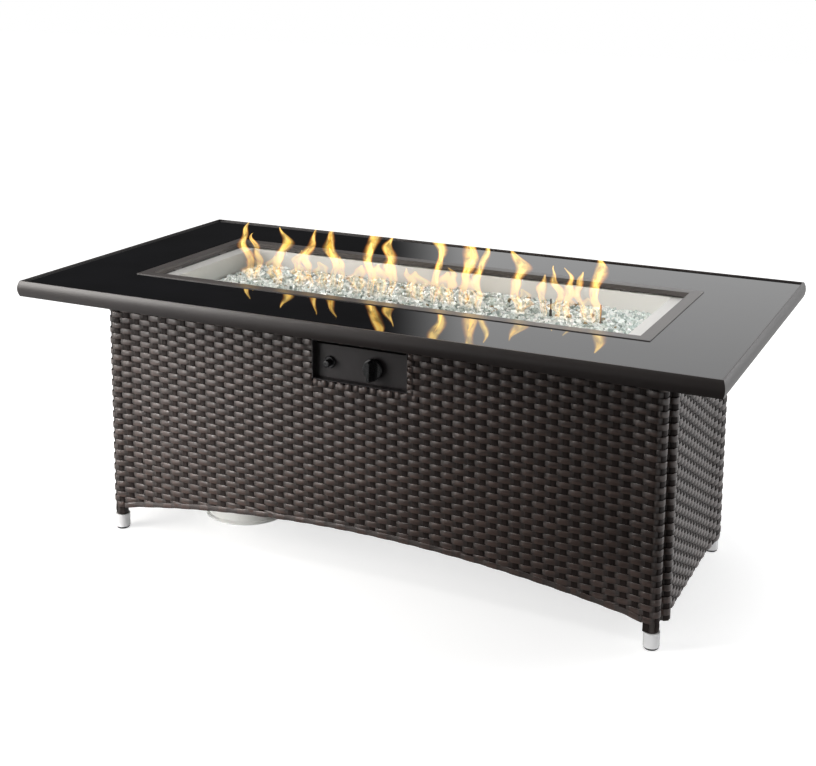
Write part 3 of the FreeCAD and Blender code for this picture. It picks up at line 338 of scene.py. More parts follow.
pan_steel = finish_material("pan_steel", (0.78, 0.765, 0.74), 0.34, metal=0.42,
                            grain=260, grain_depth=0.012, grain_stretch=(0.04, 1, 1),
                            mottle=0.02, smudge=0.10)
end_steel = finish_material("end_steel", (0.62, 0.61, 0.59), 0.42, metal=0.55,
                            grain=260, grain_depth=0.012, grain_stretch=(1, 0.04, 1),
                            mottle=0.02, smudge=0.10)
tube_steel = finish_material("tube_steel", (0.42, 0.38, 0.33), 0.42, metal=0.9,
                             grain=300, grain_depth=0.06, mottle=0.2)
plated_steel = finish_material("plated_steel", (0.48, 0.47, 0.44), 0.34, metal=0.95,
                               grain=420, grain_depth=0.05)
probe_steel = finish_material("probe_steel", (0.06, 0.052, 0.045), 0.5, metal=0.6,
                              grain=600, grain_depth=0.08)
rod_ceramic = finish_material("rod_ceramic", (0.09, 0.08, 0.07), 0.4, grain=500,
                              grain_depth=0.05)
brass = finish_material("brass", (0.66, 0.49, 0.22), 0.3, metal=1.0, grain=400,
                        grain_depth=0.03)
pipe_metal = finish_material("pipe_metal", (0.66, 0.66, 0.65), 0.38, metal=0.95,
                             grain=350, grain_depth=0.04)
dress(pan_steel, "burner_pan")
dress(end_steel, "pan_ends")
dress(tube_steel, "burner_tube", "burner_brackets")
dress(probe_steel, "flame_probe")
dress(rod_ceramic, "spark_rod")
dress(cast_metal, "air_mixer", "gas_valve")
dress(brass, "gas_orifice")
dress(pipe_metal, "gas_pipe")


# Fire glass. Clear tempered glass crushed to pieces of about a centimetre, heaped over
# the burner and thinner towards the walls of the pan.

def new_piece(name, places, faces, material, smooth=True, grain=None):
    """A mesh piece from arrays of points and of faces, with an optional UV per corner."""
    mesh = bpy.data.meshes.new(name)
    sides = faces.shape[1]
    mesh.vertices.add(len(places))
    mesh.vertices.foreach_set("co", np.ascontiguousarray(places, np.float32).ravel())
    mesh.loops.add(faces.size)
    mesh.loops.foreach_set("vertex_index", faces.astype(np.int32).ravel())
    mesh.polygons.add(len(faces))
    mesh.polygons.foreach_set("loop_start", np.arange(0, faces.size, sides, dtype=np.int32))
    mesh.polygons.foreach_set("use_smooth", np.full(len(faces), smooth))
    if grain is not None:
        layer = mesh.uv_layers.new(name="strand")
        layer.uv.foreach_set("vector", grain[faces.ravel()].astype(np.float32).ravel())
    mesh.update(calc_edges=True)
    mesh.validate()
    mesh.materials.append(material)
    piece = bpy.data.objects.new(name, mesh)
    bpy.context.scene.collection.objects.link(piece)
    return piece


# The heap: its heights at these distances from the middle, along and across, and lumps.
bed_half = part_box("fire_glass")[1]
crest_height = 0.5345
fall_heights = [crest_height, crest_height, 0.530, 0.520]
fall_along = [0.0, 0.426, 0.486, bed_half.x]
fall_across = [0.0, 0.093, 0.163, bed_half.y]
lump_pitch, lump_radius, lump_rise = 0.061, 0.026, 0.005
lumps_along, lumps_across = 7, 2
# The chips: their size, the least share of it and the shift of a corner, and their places.
chip_pitch = 0.0086
chip_size = 0.0056
least_share = 0.45
corner_shift = 0.32
chip_layers = 3
layer_drop = 0.0052
lift_range = 0.004
margin_x, margin_y = 0.008, 0.007
probe_clearance = 0.0105
draws = np.random.default_rng(7)


def bed_height(x, y):
    """Height of the heap: the lower of two profiles, one along and one across, plus lumps.

    The lumps stand on a square grid, each a cosine bell of the distance from its middle.
    """
    along = np.interp(abs(x), fall_along, fall_heights)
    across = np.interp(abs(y), fall_across, fall_heights)
    from_x = x - lump_pitch * np.clip(np.round(x / lump_pitch), -lumps_along, lumps_along)
    from_y = y - lump_pitch * np.clip(np.round(y / lump_pitch), -lumps_across, lumps_across)
    share = np.clip(np.hypot(from_x, from_y) / lump_radius, 0, 1)
    return np.minimum(along, across) + lump_rise * (0.5 + 0.5 * np.cos(math.pi * share))


def crushed_glass():
    """Places and triangles of the chips: cubes with shifted corners, turned at random.

    Each chip is eight corners times a random size per axis, plus a random shift per
    corner, turned by a random rotation, and set down on the heap, one layer below another.
    """
    span_x, span_y = bed_half.x - margin_x, bed_half.y - margin_y
    xs = np.arange(-span_x, span_x, chip_pitch)
    ys = np.arange(-span_y, span_y, chip_pitch)
    spots = []
    for layer in range(chip_layers):
        grid_x, grid_y = np.meshgrid(xs, ys, indexing="ij")
        x = (grid_x + draws.uniform(-0.5, 0.5, grid_x.shape) * chip_pitch).ravel()
        y = (grid_y + draws.uniform(-0.5, 0.5, grid_y.shape) * chip_pitch).ravel()
        x = np.clip(x, -span_x, span_x)
        y = np.clip(y, -span_y, span_y)
        lift = draws.uniform(-0.5, 0.5, x.shape) * lift_range
        spots.append(np.stack([x, y, bed_height(x, y) - layer * layer_drop + lift], 1))
    spots = np.concatenate(spots)
    for node in ("flame_probe", "spark_rod"):
        low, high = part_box(node)
        away = np.hypot(spots[:, 0] - (low.x + high.x) / 2, spots[:, 1] - (low.y + high.y) / 2)
        spots = spots[away > probe_clearance]
    corners = np.array([[i, j, k] for i in (-1, 1) for j in (-1, 1) for k in (-1, 1)], float)
    count = len(spots)
    sizes = draws.uniform(least_share, 1.0, (count, 1, 3)) * chip_size
    shifts = draws.uniform(-corner_shift, corner_shift, (count, 8, 3)) * chip_size
    shapes = corners[None] * sizes + shifts
    quarter = draws.normal(size=(count, 4))
    w, a, b, c = (quarter / np.linalg.norm(quarter, axis=1, keepdims=True)).T
    turns = np.stack([
        np.stack([1 - 2 * (b * b + c * c), 2 * (a * b - c * w), 2 * (a * c + b * w)], -1),
        np.stack([2 * (a * b + c * w), 1 - 2 * (a * a + c * c), 2 * (b * c - a * w)], -1),
        np.stack([2 * (a * c - b * w), 2 * (b * c + a * w), 1 - 2 * (a * a + b * b)], -1),
    ], 1)
    places = np.einsum("nij,nkj->nki", turns, shapes) + spots[:, None]
    cube = np.array([[0, 1, 3], [0, 3, 2], [4, 6, 7], [4, 7, 5], [0, 4, 5], [0, 5, 1],
                     [2, 3, 7], [2, 7, 6], [0, 2, 6], [0, 6, 4], [1, 5, 7], [1, 7, 3]])
    faces = cube[None] + 8 * np.arange(count)[:, None, None]
    tones = np.repeat(draws.uniform(0, 1, count), 8)
    return places.reshape(-1, 3), faces.reshape(-1, 3), np.stack([tones, tones * 0], 1)


def shades(tree, add, value, stops):
    """A colour ramp on a value; its first two stops are the ends."""
    node = add("ValToRGB")
    join(tree, value, node.inputs[0])
    for index, (position, colour) in enumerate(stops):
        if index < 2:
            stop = node.color_ramp.elements[index]
            stop.position = position
        else:
            stop = node.color_ramp.elements.new(position)
        stop.color = (*colour, 1)
    return node.outputs[0]


chip_glass = bpy.data.materials.new("chip_glass")
tree, add = node_tree(chip_glass)
surface = add("BsdfPrincipled", Roughness=0.06, IOR=1.5, Transmission_Weight=0.36,
              Specular_IOR_Level=0.9)
tone = add("SeparateXYZ")
join(tree, add("TexCoord").outputs["UV"], tone.inputs[0])
shade = shades(tree, add, tone.outputs["X"], (
    (0.0, (0.30, 0.22, 0.12)), (1.0, (1.0, 1.0, 0.98)), (0.014, (0.34, 0.27, 0.16)),
    (0.02, (0.36, 0.43, 0.40)), (0.22, (0.60, 0.68, 0.64)), (0.6, (0.80, 0.85, 0.81))))
join(tree, shade, surface.inputs["Base Color"])
ripple = noise(tree, add, add("TexCoord").outputs["Object"], 380.0, 2.0)
surfaced(tree, add, surface, ripple, 0.25, 0.0005)

chip_places, chip_faces, chip_tones = crushed_glass()
chips = new_piece("fire_glass_chips", chip_places, chip_faces, chip_glass, smooth=False,
                  grain=chip_tones)
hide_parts("fire_glass")
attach(chips, "table")


# Flames. Burning gas, not a part of the table: thin glowing ribbons that add their light
# to what is behind them and stand on the fire glass.

flame_glow = 1.25
mirrored_glow = 2.7
mirror_reach = (0.16, 0.26)
# Across a ribbon, as shares of its width from the middle, which wanders: where the body
# of the flame and the rim of its hollow foot start and end.
wander_width = 0.24
wandered_middle = 0.62
body_edge = (0.10, 0.40)
rim_edge = (0.24, 0.40)
rim_start = (0.08, 0.26, 0.05, 0.26)
# Up a ribbon, in metres above its foot: where it starts, and where it becomes filled.
foot_fade = (0.002, 0.030)
filled_from = (0.040, 0.105)
flicker_strength = (0.34, 0.62, 0.42, 1.12)

flame_fire = bpy.data.materials.new("flame_fire")
tree, add = node_tree(flame_fire)
ribbon_place = add("TexCoord").outputs["UV"]
place = add("SeparateXYZ")
join(tree, ribbon_place, place.inputs[0])
across, upward = place.outputs["X"], place.outputs["Y"]
wander = noise(tree, add, ribbon_place, 1.0, 1.0, (1.4, 24.0, 1.0))
shifted = arithmetic(tree, add, "ADD", arithmetic(tree, add, "FRACT", across, 0.0),
                     arithmetic(tree, add, "MULTIPLY", wander, wander_width))
from_middle = arithmetic(tree, add, "ABSOLUTE",
                         arithmetic(tree, add, "SUBTRACT", shifted, wandered_middle), 0.0)
body = eased(tree, add, from_middle, *body_edge, 1.0, 0.0)
rim = arithmetic(tree, add, "MULTIPLY", eased(tree, add, from_middle, *rim_edge, 1.0, 0.0),
                 eased(tree, add, from_middle, *rim_start))
height_share = eased(tree, add, upward, *filled_from)
flicker = noise(tree, add, ribbon_place, 1.0, 2.0, (2.6, 46.0, 1.0))
strength = eased(tree, add, flicker, *flicker_strength)
filled = arithmetic(tree, add, "MULTIPLY", arithmetic(tree, add, "MULTIPLY", body, strength),
                    height_share)
hollow = arithmetic(tree, add, "MULTIPLY", rim,
                    arithmetic(tree, add, "SUBTRACT", 1.0, height_share))
cover = arithmetic(tree, add, "ADD", filled, hollow)
cover = arithmetic(tree, add, "MULTIPLY", cover, eased(tree, add, upward, *foot_fade))
heat = shades(tree, add, arithmetic(tree, add, "MULTIPLY", wander, body), (
    (0.06, (0.92, 0.30, 0.06)), (0.66, (1.0, 0.50, 0.06)), (0.30, (1.0, 0.55, 0.12)),
    (0.45, (1.0, 0.70, 0.20))))
path = add("LightPath")
far_off = eased(tree, add, path.outputs["Ray Length"], *mirror_reach)
mirrored_share = arithmetic(tree, add, "MULTIPLY", path.outputs["Is Glossy Ray"], far_off)
boost = eased(tree, add, mirrored_share, 0.0, 1.0, flame_glow, mirrored_glow)
glow = add("Emission")
join(tree, heat, glow.inputs["Color"])
join(tree, arithmetic(tree, add, "MULTIPLY", cover, boost), glow.inputs["Strength"])
clear = add("BsdfTransparent")
dimming = add("MixRGB", Color1=(1, 1, 1, 1), Color2=(0.98, 0.95, 0.84, 1))
join(tree, cover, dimming.inputs["Fac"])
join(tree, dimming.outputs[0], clear.inputs["Color"])
blend = add("AddShader")
join(tree, clear.outputs[0], blend.inputs[0])
join(tree, glow.outputs[0], blend.inputs[1])
join(tree, blend.outputs[0], add("OutputMaterial").inputs["Surface"])

# Foot x, tip x, tip height, depth y, width and sway of each flame, in millimetres. The
# low wide ones are the licks that join the tall ones at the foot.
flames = (
    (-425, -441, 672, 20, 32, 12), (-398, -406, 648, 10, 26, -10), (-334, -322, 673, -10, 40, 16),
    (-306, -298, 618, 25, 30, -8), (-262, -257, 681, 0, 30, -16), (-212, -204, 685, 15, 36, 12),
    (-178, -172, 622, -10, 22, -4), (-112, -99, 720, 5, 44, 13), (-60, -55, 684, 0, 42, -9),
    (-20, -26, 606, 20, 26, 6), (44, 57, 761, 0, 34, 14), (82, 78, 620, 12, 30, -8),
    (112, 123, 746, 10, 40, -13), (150, 160, 690, -8, 28, 11), (240, 225, 681, 5, 44, 14),
    (292, 290, 632, 0, 28, -6), (322, 316, 650, 10, 24, 9), (350, 345, 652, -5, 26, -9),
    (376, 364, 645, 6, 24, 8), (408, 402, 683, 5, 38, 9),
    (-412, -408, 596, 0, 60, 3), (-346, -352, 604, 0, 52, -4), (-290, -282, 590, 4, 54, 4),
    (-228, -236, 600, 8, 50, -4), (-140, -134, 606, 0, 58, 5), (-84, -88, 612, 4, 52, -4),
    (10, 4, 606, 0, 64, 5), (64, 70, 612, 6, 60, -5), (134, 130, 606, 0, 62, 4),
    (244, 250, 596, 0, 50, -4), (330, 334, 590, 4, 64, 4), (392, 388, 594, 0, 56, 4),
)
flame_foot = 0.533
ribbon_kinds = ((-0.35, 1.0, 1.0), (0.75, 0.66, 0.8))
swell_heights = [0, 0.10, 0.34, 0.62, 0.84, 1]
swell_widths = [0.30, 0.62, 0.42, 1.0, 0.66, 0.02]
half_width = 0.60
lobe_depth = 0.34
fast_sway = 0.30


def flame_sheets(rings=44, columns=9):
    """Two ribbons for each flame, turned a little to either side of the picture plane.

    Along a ribbon the middle line leans from foot to tip and sways as the sum of a slow
    and a faster sine. Its width swells over the foot, narrows to a neck, swells again and
    runs out to the tip, times 1 plus a sine that differs from side to side. The second
    ribbon is lower and stays close to the first. A kind of ribbon has its turn, its share
    of the height and its share of the width.
    """
    up = np.linspace(0, 1, rings)[:, None]
    side = np.linspace(-1, 1, columns)[None, :]
    row = np.arange(rings - 1)[:, None] * columns + np.arange(columns - 1)[None, :]
    quads = np.stack([row, row + 1, row + columns + 1, row + columns], -1).reshape(-1, 4)
    places, grains, faces = [], [], []
    for number, (foot, tip, top, depth, width, sway) in enumerate(flames):
        for ribbon, (turn, reached, share) in enumerate(ribbon_kinds):
            rise = reached * up
            bend = up ** (0.80 + 0.15 * ((number + 2 * ribbon) % 4))
            swell = np.interp(bend, swell_heights, swell_widths)
            swell = np.convolve(np.pad(swell[:, 0], 3, mode="edge"), np.ones(7) / 7, "valid")
            phase = 0.17 * number % 1
            swing = np.sin(2 * np.pi * (1.2 * rise + phase))
            swing = swing + fast_sway * np.sin(2 * np.pi * (3.1 * rise + 2.3 * phase))
            swing = sway * swing * rise ** 0.6
            middle = (foot + (tip - foot) * rise + swing + 3 * ribbon * np.sin(4 * up)) / 1000
            lobes = 1 + lobe_depth * np.sin(2 * np.pi * (2.4 * up + phase + 0.23 * side))
            reach = half_width * share * side * lobes * swell[:, None] * width / 1000
            x = middle + reach * math.cos(camera_heading + turn)
            y = depth / 1000 + reach * math.sin(camera_heading + turn)
            z = flame_foot + (top / 1000 - flame_foot) * rise + 0 * side
            faces.append(quads + sum(len(part) for part in places))
            places.append(np.stack([x, y, z], -1).reshape(-1, 3))
            grain_across = (side + 1) / 2 * 0.998 + 0.001 + 0 * up + 2 * number + ribbon
            grains.append(np.stack([grain_across, z - flame_foot], -1).reshape(-1, 2))
    return np.concatenate(places), np.concatenate(faces), np.concatenate(grains)


flame_places, flame_faces, flame_grain = flame_sheets()
fire = new_piece("flames", flame_places, flame_faces, flame_fire, grain=flame_grain)


# Controls. A dark plate in a folded sleeve carries a moulded gas knob with a tall
# pointer and a push-button igniter in a round nut.

control_coat = finish_material("control_coat", (0.029, 0.025, 0.026), 0.46, gloss=0.4,
                               grain=1300, grain_depth=0.06)
knob_plastic = finish_material("knob_plastic", (0.010, 0.010, 0.011), 0.26, gloss=0.55,
                               grain=900, grain_depth=0.03)
dress(control_coat, "control_surround", "control_plate")
dress(knob_plastic, "control_knob", "igniter_body", "igniter_nut", "igniter_button")
dress(plated_steel, "valve_stem", "stem_collar")


# Woven base. Flat espresso resin strand, about twelve millimetres wide, woven over and
# under upright stakes, rolled round the legs and finished with a border along the arch.

# Rows and stakes.
row_pitch = 0.01215
stake_pitch = 0.024
strand_width = 0.0119
strand_thickness = 0.0010
strand_crown = 0.0003
outer_flat, inner_flat = 0.86, 0.96
strand_wave = 0.0020
flat_share = 0.6
flat_start, flat_run = 0.78, 1.2
stake_width = 0.0126
stake_thickness = 0.0012
stake_wave = 0.0005
stake_step = 0.0034
batch_step = 0.37
first_row = 0.0476
# Plan of the panels: round the legs on the long sides, and round a post at each corner
# of the ends.
leg_x, leg_y = 0.608, 0.237
wrap_radius, wrap_turn = 0.0142, (256, 400)
tuck_length = 0.045
skin_y = 0.2435
skin_x = 0.6235
post_x, post_y, post_radius = 0.622, 0.205, 0.0108
post_turn = 150
bend_length, bend_turn = 0.085, -7
# Edges of the long sides and their cut-out for the controls.
lower_edge = 0.034
arch_apex, arch_rise, arch_half = 0.107, 0.055, 0.5925
arch_radius = (arch_half ** 2 + arch_rise ** 2) / (2 * arch_rise)
woven_top = 0.5515
cut_left, cut_right, cut_low, cut_high = -0.1143, 0.1013, 0.4212, 0.5053
# Finish of the strand: the edge of its crest, where the painted shade of a dip gives way,
# and how rough a dip and how dark or light a batch of it can be.
crest_edge = 0.55
dip_roughness = 0.55
darkest_batch, lightest_batch = 0.62, 1.35


def strand_resin(name, roughness, tint, gloss, dip_shade=1.0):
    """Extruded resin: dark brown, with drawn lines along the strand and uneven colour.

    Its colour falls to dip_shade, a painted shade where the strand dips behind a stake,
    and it grows rougher there, which is where the cosine of pi times its first UV in stakes
    is low.
    """
    material = bpy.data.materials.new(name)
    tree, add = node_tree(material)
    surface = add("BsdfPrincipled", Specular_IOR_Level=gloss)
    where = add("TexCoord").outputs["UV"]
    along = add("SeparateXYZ")
    join(tree, where, along.inputs[0])
    swing = arithmetic(tree, add, "MULTIPLY", along.outputs["X"], math.pi / stake_pitch)
    swing = arithmetic(tree, add, "COSINE", swing, 0.0)
    crest = eased(tree, add, swing, 0.0, crest_edge, dip_shade, 1.0)
    drawn = noise(tree, add, where, 1.0, 3.0, (9.0, 1500.0, 1.0), roughness=0.6)
    batch = noise(tree, add, where, 1.0, 1.0, (5.0, 160.0, 1.0))
    shade = shades(tree, add, batch, ((0.32, [darkest_batch * part for part in tint]),
                                      (0.70, [lightest_batch * part for part in tint])))
    # Batch tone times the painted shade of the dips.
    dyed_and_shaded = add("MixRGB", blend_type="MULTIPLY", Fac=1.0)
    join(tree, shade, dyed_and_shaded.inputs["Color1"])
    join(tree, crest, dyed_and_shaded.inputs["Color2"])
    join(tree, dyed_and_shaded.outputs[0], surface.inputs["Base Color"])
    grained = eased(tree, add, drawn, *noise_range, roughness - 0.05, roughness + 0.09)
    dip = arithmetic(tree, add, "SUBTRACT", 1.0, crest)
    dulled = arithmetic(tree, add, "MULTIPLY", dip, dip_roughness)
    join(tree, arithmetic(tree, add, "ADD", grained, dulled), surface.inputs["Roughness"])
    surfaced(tree, add, surface, drawn, 0.35, 0.00025)
    return material


# The rows' colour halves in the dips: painted shade where they pass behind the stakes.
row_resin = strand_resin("row_resin", 0.34, (0.058, 0.036, 0.029), 1.0, dip_shade=0.5)
# The stakes are coloured far darker than the rows: painted shade, for stakes lying recessed
# between them.
shaded_stake_resin = strand_resin("shaded_stake_resin", 0.55, (0.016, 0.010, 0.0085), 0.22)
# A near-black sheet behind the weave: painted shade, for the dark inside of the base seen through
# the gaps.
painted_shade_sheet = finish_material("painted_shade_sheet", (0.008, 0.006, 0.0055), 0.8, gloss=0.1)


def plan_line(points, step=0.0005, rounding=9):
    """Plan of a panel: a polyline resampled evenly, its corners averaged round.

    Returns places along it, its outward normals (to the right of the way it runs) and
    the distance along it from its middle.
    """
    points = np.array(points, float)
    runs = np.hypot(*np.diff(points, axis=0).T)
    marks = np.concatenate([[0], np.cumsum(runs)])
    even = np.arange(0, marks[-1], step)
    line = np.stack([np.interp(even, marks, points[:, i]) for i in (0, 1)], 1)
    padded = np.pad(line, ((rounding, rounding), (0, 0)), mode="reflect", reflect_type="odd")
    kernel = np.ones(2 * rounding + 1) / (2 * rounding + 1)
    line = np.stack([np.convolve(padded[:, i], kernel, "valid") for i in (0, 1)], 1)
    ways = np.gradient(line, axis=0)
    ways /= np.linalg.norm(ways, axis=1, keepdims=True)
    normals = np.stack([ways[:, 1], -ways[:, 0]], 1)
    lengths = np.concatenate([[0], np.cumsum(np.hypot(*np.diff(line, axis=0).T))])
    return line, normals, lengths - lengths[-1] / 2


def arc(centre, radius, start, end, count=60):
    """Points on a circle between two angles in degrees."""
    turns = np.radians(np.linspace(start, end, count))
    return [(centre[0] + radius * math.cos(t), centre[1] + radius * math.sin(t)) for t in turns]


def long_plan():
    """Front skin from behind the left leg, round it, along the front, and round the right."""
    right = [(leg_x - tuck_length, -skin_y)] + arc((leg_x, -leg_y), wrap_radius, *wrap_turn)
    left = [(-x, y) for x, y in reversed(right)]
    return left + right


def end_plan():
    """Right-hand skin: round the front post, straight on, and gently out round the rear one."""
    meet = math.degrees(math.acos((skin_x - post_x) / post_radius))
    near = arc((post_x, -post_y), post_radius, -post_turn, meet)
    far = arc((post_x, post_y), post_radius, bend_turn, post_turn)
    return near + [(skin_x, post_y - bend_length)] + far


def arch_height(x):
    """Height of the arched edge over a point of the front: the lower edge beyond the arch.

    Under the arch it is the apex less the radius, plus the root of the radius squared less
    x squared.
    """
    under = np.clip(x, -arch_half, arch_half)
    level = arch_apex - arch_radius + np.sqrt(arch_radius ** 2 - under ** 2)
    return np.where(abs(x) > arch_half, lower_edge, level)


def along_plan(plan, marks, out, heights):
    """Points at these distances along a plan, out from it by this much, at these heights."""
    line, normals, lengths = plan
    x, y, way_x, way_y = [np.interp(marks, lengths, part[:, i])
                          for part in (line, normals) for i in (0, 1)]
    return np.stack(np.broadcast_arrays(x + way_x * out, y + way_y * out, heights), -1)


def strand(plan, marks, height, phase, section_across, section_out, lift=0.0,
           wave=strand_wave):
    """One strand as rings of a flat section, carried along the plan, with its UVs.

    It lies flat over one stake and dips behind the next: it stands off the plan by wave
    times a smooth step of the cosine of pi times its distance in stakes plus its phase,
    with a share of the cosine itself. Its own section is added across and outwards.
    """
    swing = np.cos(math.pi * (marks / stake_pitch + phase))
    step = np.clip((swing + flat_start) / flat_run, 0, 1)
    flat = 2 * step * step * (3 - 2 * step) - 1
    stand = lift + wave * (flat_share * flat + (1 - flat_share) * swing)
    out = stand[:, None] + section_out[None]
    height = np.broadcast_to(height, marks.shape)
    places = along_plan(plan, marks[:, None], out, height[:, None] + section_across[None])
    in_step = (marks + phase * stake_pitch)[:, None]
    grain = (in_step, phase * batch_step + section_across[None])
    return places, np.stack(np.broadcast_arrays(*grain), -1)


def tube_quads(places):
    """Quads round and along a grid of rings."""
    rings, sides = places.shape[:2]
    ring = np.arange(rings - 1)[:, None] * sides
    here = np.arange(sides)[None]
    after = (here + 1) % sides
    corners = (ring + here, ring + sides + here, ring + sides + after, ring + after)
    return np.stack(corners, -1).reshape(-1, 4)


def capped(places, grain):
    """The rings, with one more at each end that is drawn together on its middle to close it."""
    first = np.broadcast_to(places[:1].mean(1, keepdims=True), places[:1].shape)
    last = np.broadcast_to(places[-1:].mean(1, keepdims=True), places[-1:].shape)
    return np.concatenate([first, places, last]), np.concatenate([grain[:1], grain, grain[-1:]])


class Basket:
    """Collects strands into one mesh."""

    def __init__(self):
        self.places, self.faces, self.grains, self.count = [], [], [], 0

    def put(self, places, grain):
        """Adds a strand, as a grid of rings of points and of UVs."""
        places, grain = capped(places, grain)
        self.faces.append(tube_quads(places) + self.count)
        self.places.append(places.reshape(-1, 3))
        self.grains.append(grain.reshape(-1, 2))
        self.count += places.shape[0] * places.shape[1]

    def piece(self, name, material, turn=None):
        """The finished mesh; turn has the signs of x and y that make the opposite panel."""
        places, faces = np.concatenate(self.places), np.concatenate(self.faces)
        if turn is not None:
            places = places * np.array([*turn, 1.0])
            if turn[0] * turn[1] < 0:
                faces = faces[:, ::-1]
        return new_piece(name, places, faces, material, grain=np.concatenate(self.grains))


def flat_section(width, thickness, crown):
    """Six points round a strand: a flat outer face with eased edges and a flat inner one."""
    half = width / 2
    across = half * np.array([-1, -outer_flat, outer_flat, 1, inner_flat, -inner_flat])
    out = np.array([-crown, 0.0, 0.0, -crown, -crown - thickness, -crown - thickness])
    return across, out + thickness / 2


dip_marks = np.array([-13.0, -9.0, -6.0, -3.0, 0.0, 3.0, 6.0, 9.0, 13.0, 24.0]) / 1000
corner_step, least_turning = 0.004, 0.01
least_mark = 0.001
shortest_strand = 0.004


def strand_marks(plan, start, end, phase):
    """Places along a strand: close together where it dips behind a stake and in a corner."""
    whole = 2 * stake_pitch
    first = (1 - phase) * stake_pitch
    turns = np.arange(math.floor((start - first) / whole), math.ceil((end - first) / whole) + 1)
    marks = (first + turns[:, None] * whole + dip_marks[None]).ravel()
    even = np.arange(start, end, corner_step)
    turning = np.hypot(*np.gradient(plan[1], axis=0).T)
    marks = np.concatenate([marks, even[np.interp(even, plan[2], turning) > least_turning]])
    marks = marks[(marks > start + least_mark) & (marks < end - least_mark)]
    return np.unique(np.concatenate([[start], marks, [end]]).round(5))


def spans(low, high, gaps):
    """The stretches of low..high that the gaps leave."""
    left = [(low, high)]
    for start, end in gaps:
        left = [piece for a, b in left for piece in ((a, min(b, start)), (max(a, end), b))
                if piece[1] - piece[0] > shortest_strand]
    return left


def woven_panel(plan, rows, gaps_of_row, foot_of_stake, top, holes):
    """Rows and stakes of one panel as two baskets.

    A stake stands off the plan by minus its wave times the cosine of pi times its height
    in rows plus its own number, so it gives way to each row that passes over it.
    """
    across, out = flat_section(strand_width, strand_thickness, strand_crown)
    reach = plan[2][-1]
    level, upright = Basket(), Basket()
    for number, height in rows:
        for start, end in spans(-reach, reach, gaps_of_row(height)):
            marks = strand_marks(plan, start, end, number)
            level.put(*strand(plan, marks, height, number, across, out))
    stake_across, stake_out = flat_section(stake_width, stake_thickness, strand_crown)
    count = int(reach / stake_pitch)
    for index in range(-count, count + 1):
        mark = index * stake_pitch
        foot = foot_of_stake(mark)
        for low, high in spans(foot, top, holes(mark)):
            heights = np.linspace(low, high, max(4, int((high - low) / stake_step)))[:, None]
            phase = (heights - rows[0][1]) / row_pitch + index
            out_of_line = stake_out - stake_wave * np.cos(math.pi * phase)
            places = along_plan(plan, mark + stake_across, out_of_line, heights)
            grain = (heights, stake_across + index * batch_step)
            grain = np.stack(np.broadcast_arrays(*grain), -1)
            upright.put(places[:, ::-1], grain[:, ::-1])
    return level, upright


# The sheet of painted shade behind the weave: how far it lies behind the plan, its step along it
# and its lift.
sheet_near, sheet_far = 0.0024, 0.0028
sheet_step, sheet_lift = 0.008, 0.004


def shade_sheet(plan, stretches):
    """A near-black sheet that closes the gaps between the strands: painted shade that stands
    in for the dark inside of the base.

    Each stretch has its start and end along the plan, its lower edge as a function of the
    place along it, and its upper edge.
    """
    sheet = Basket()
    behind = -np.array([sheet_near, sheet_near, sheet_far, sheet_far])
    for start, end, foot, top in stretches:
        marks = np.linspace(start, end, max(3, int((end - start) / sheet_step)))
        low = np.array([foot(mark) + sheet_lift for mark in marks])
        heights = np.stack([low, top + 0 * low, top + 0 * low, low], -1)
        places = along_plan(plan, marks[:, None], behind, heights)
        sheet.put(places, heights[..., None] * np.array([1.0, 0.0]))
    return sheet


def half_span_at(height):
    """Half of the width under the arch at a height, by Pythagoras, and zero above its apex."""
    drop = arch_radius ** 2 - (height - arch_apex + arch_radius) ** 2
    return math.sqrt(drop) if drop > 0 and height < arch_apex else 0.0


front_plan = plan_line(long_plan())
row_heights = [(number, first_row + number * row_pitch) for number in range(-1, 41)]
row_clearance, foot_clearance, cut_clearance = 0.001, 0.002, 0.006


def arch_gap(height):
    """The stretch of a row that the arch cuts away."""
    half = half_span_at(height - strand_width / 2 - row_clearance)
    return [(-half, half)] if half > 0 else []


def front_gaps(height):
    """The arch, and the control cut-out for rows beside it."""
    beside = cut_low < height < cut_high
    return arch_gap(height) + ([(cut_left, cut_right)] if beside else [])


def arch_foot(mark):
    """Lowest point of a stake over the arch."""
    return float(arch_height(np.array(mark))) + foot_clearance


def control_hole(mark):
    """The stretch of a stake that the control cut-out takes."""
    inside = cut_left - cut_clearance < mark < cut_right + cut_clearance
    return [(cut_low, cut_high)] if inside else []


border_share = 0.54
border_lift, border_wave = 0.0022, 0.0008


def border(level):
    """A strand that follows the arched edge on the outside, over the ends of the rows."""
    across, out = flat_section(strand_width, strand_thickness, strand_crown)
    marks = np.linspace(-arch_half, arch_half, 300)
    height = arch_height(marks) + strand_width * border_share
    level.put(*strand(front_plan, marks, height, 0, across, out, border_lift, border_wave))


fold_radius = 0.0024
fold_pitch = 0.0186
fold_thickness = 0.0009
fold_stand = 0.0021
fold_gap = 0.0004
fold_run, fold_middle, fold_end = 0.013, 0.007, 0.003
fold_half, side_fold_half = 0.0062, 0.0052


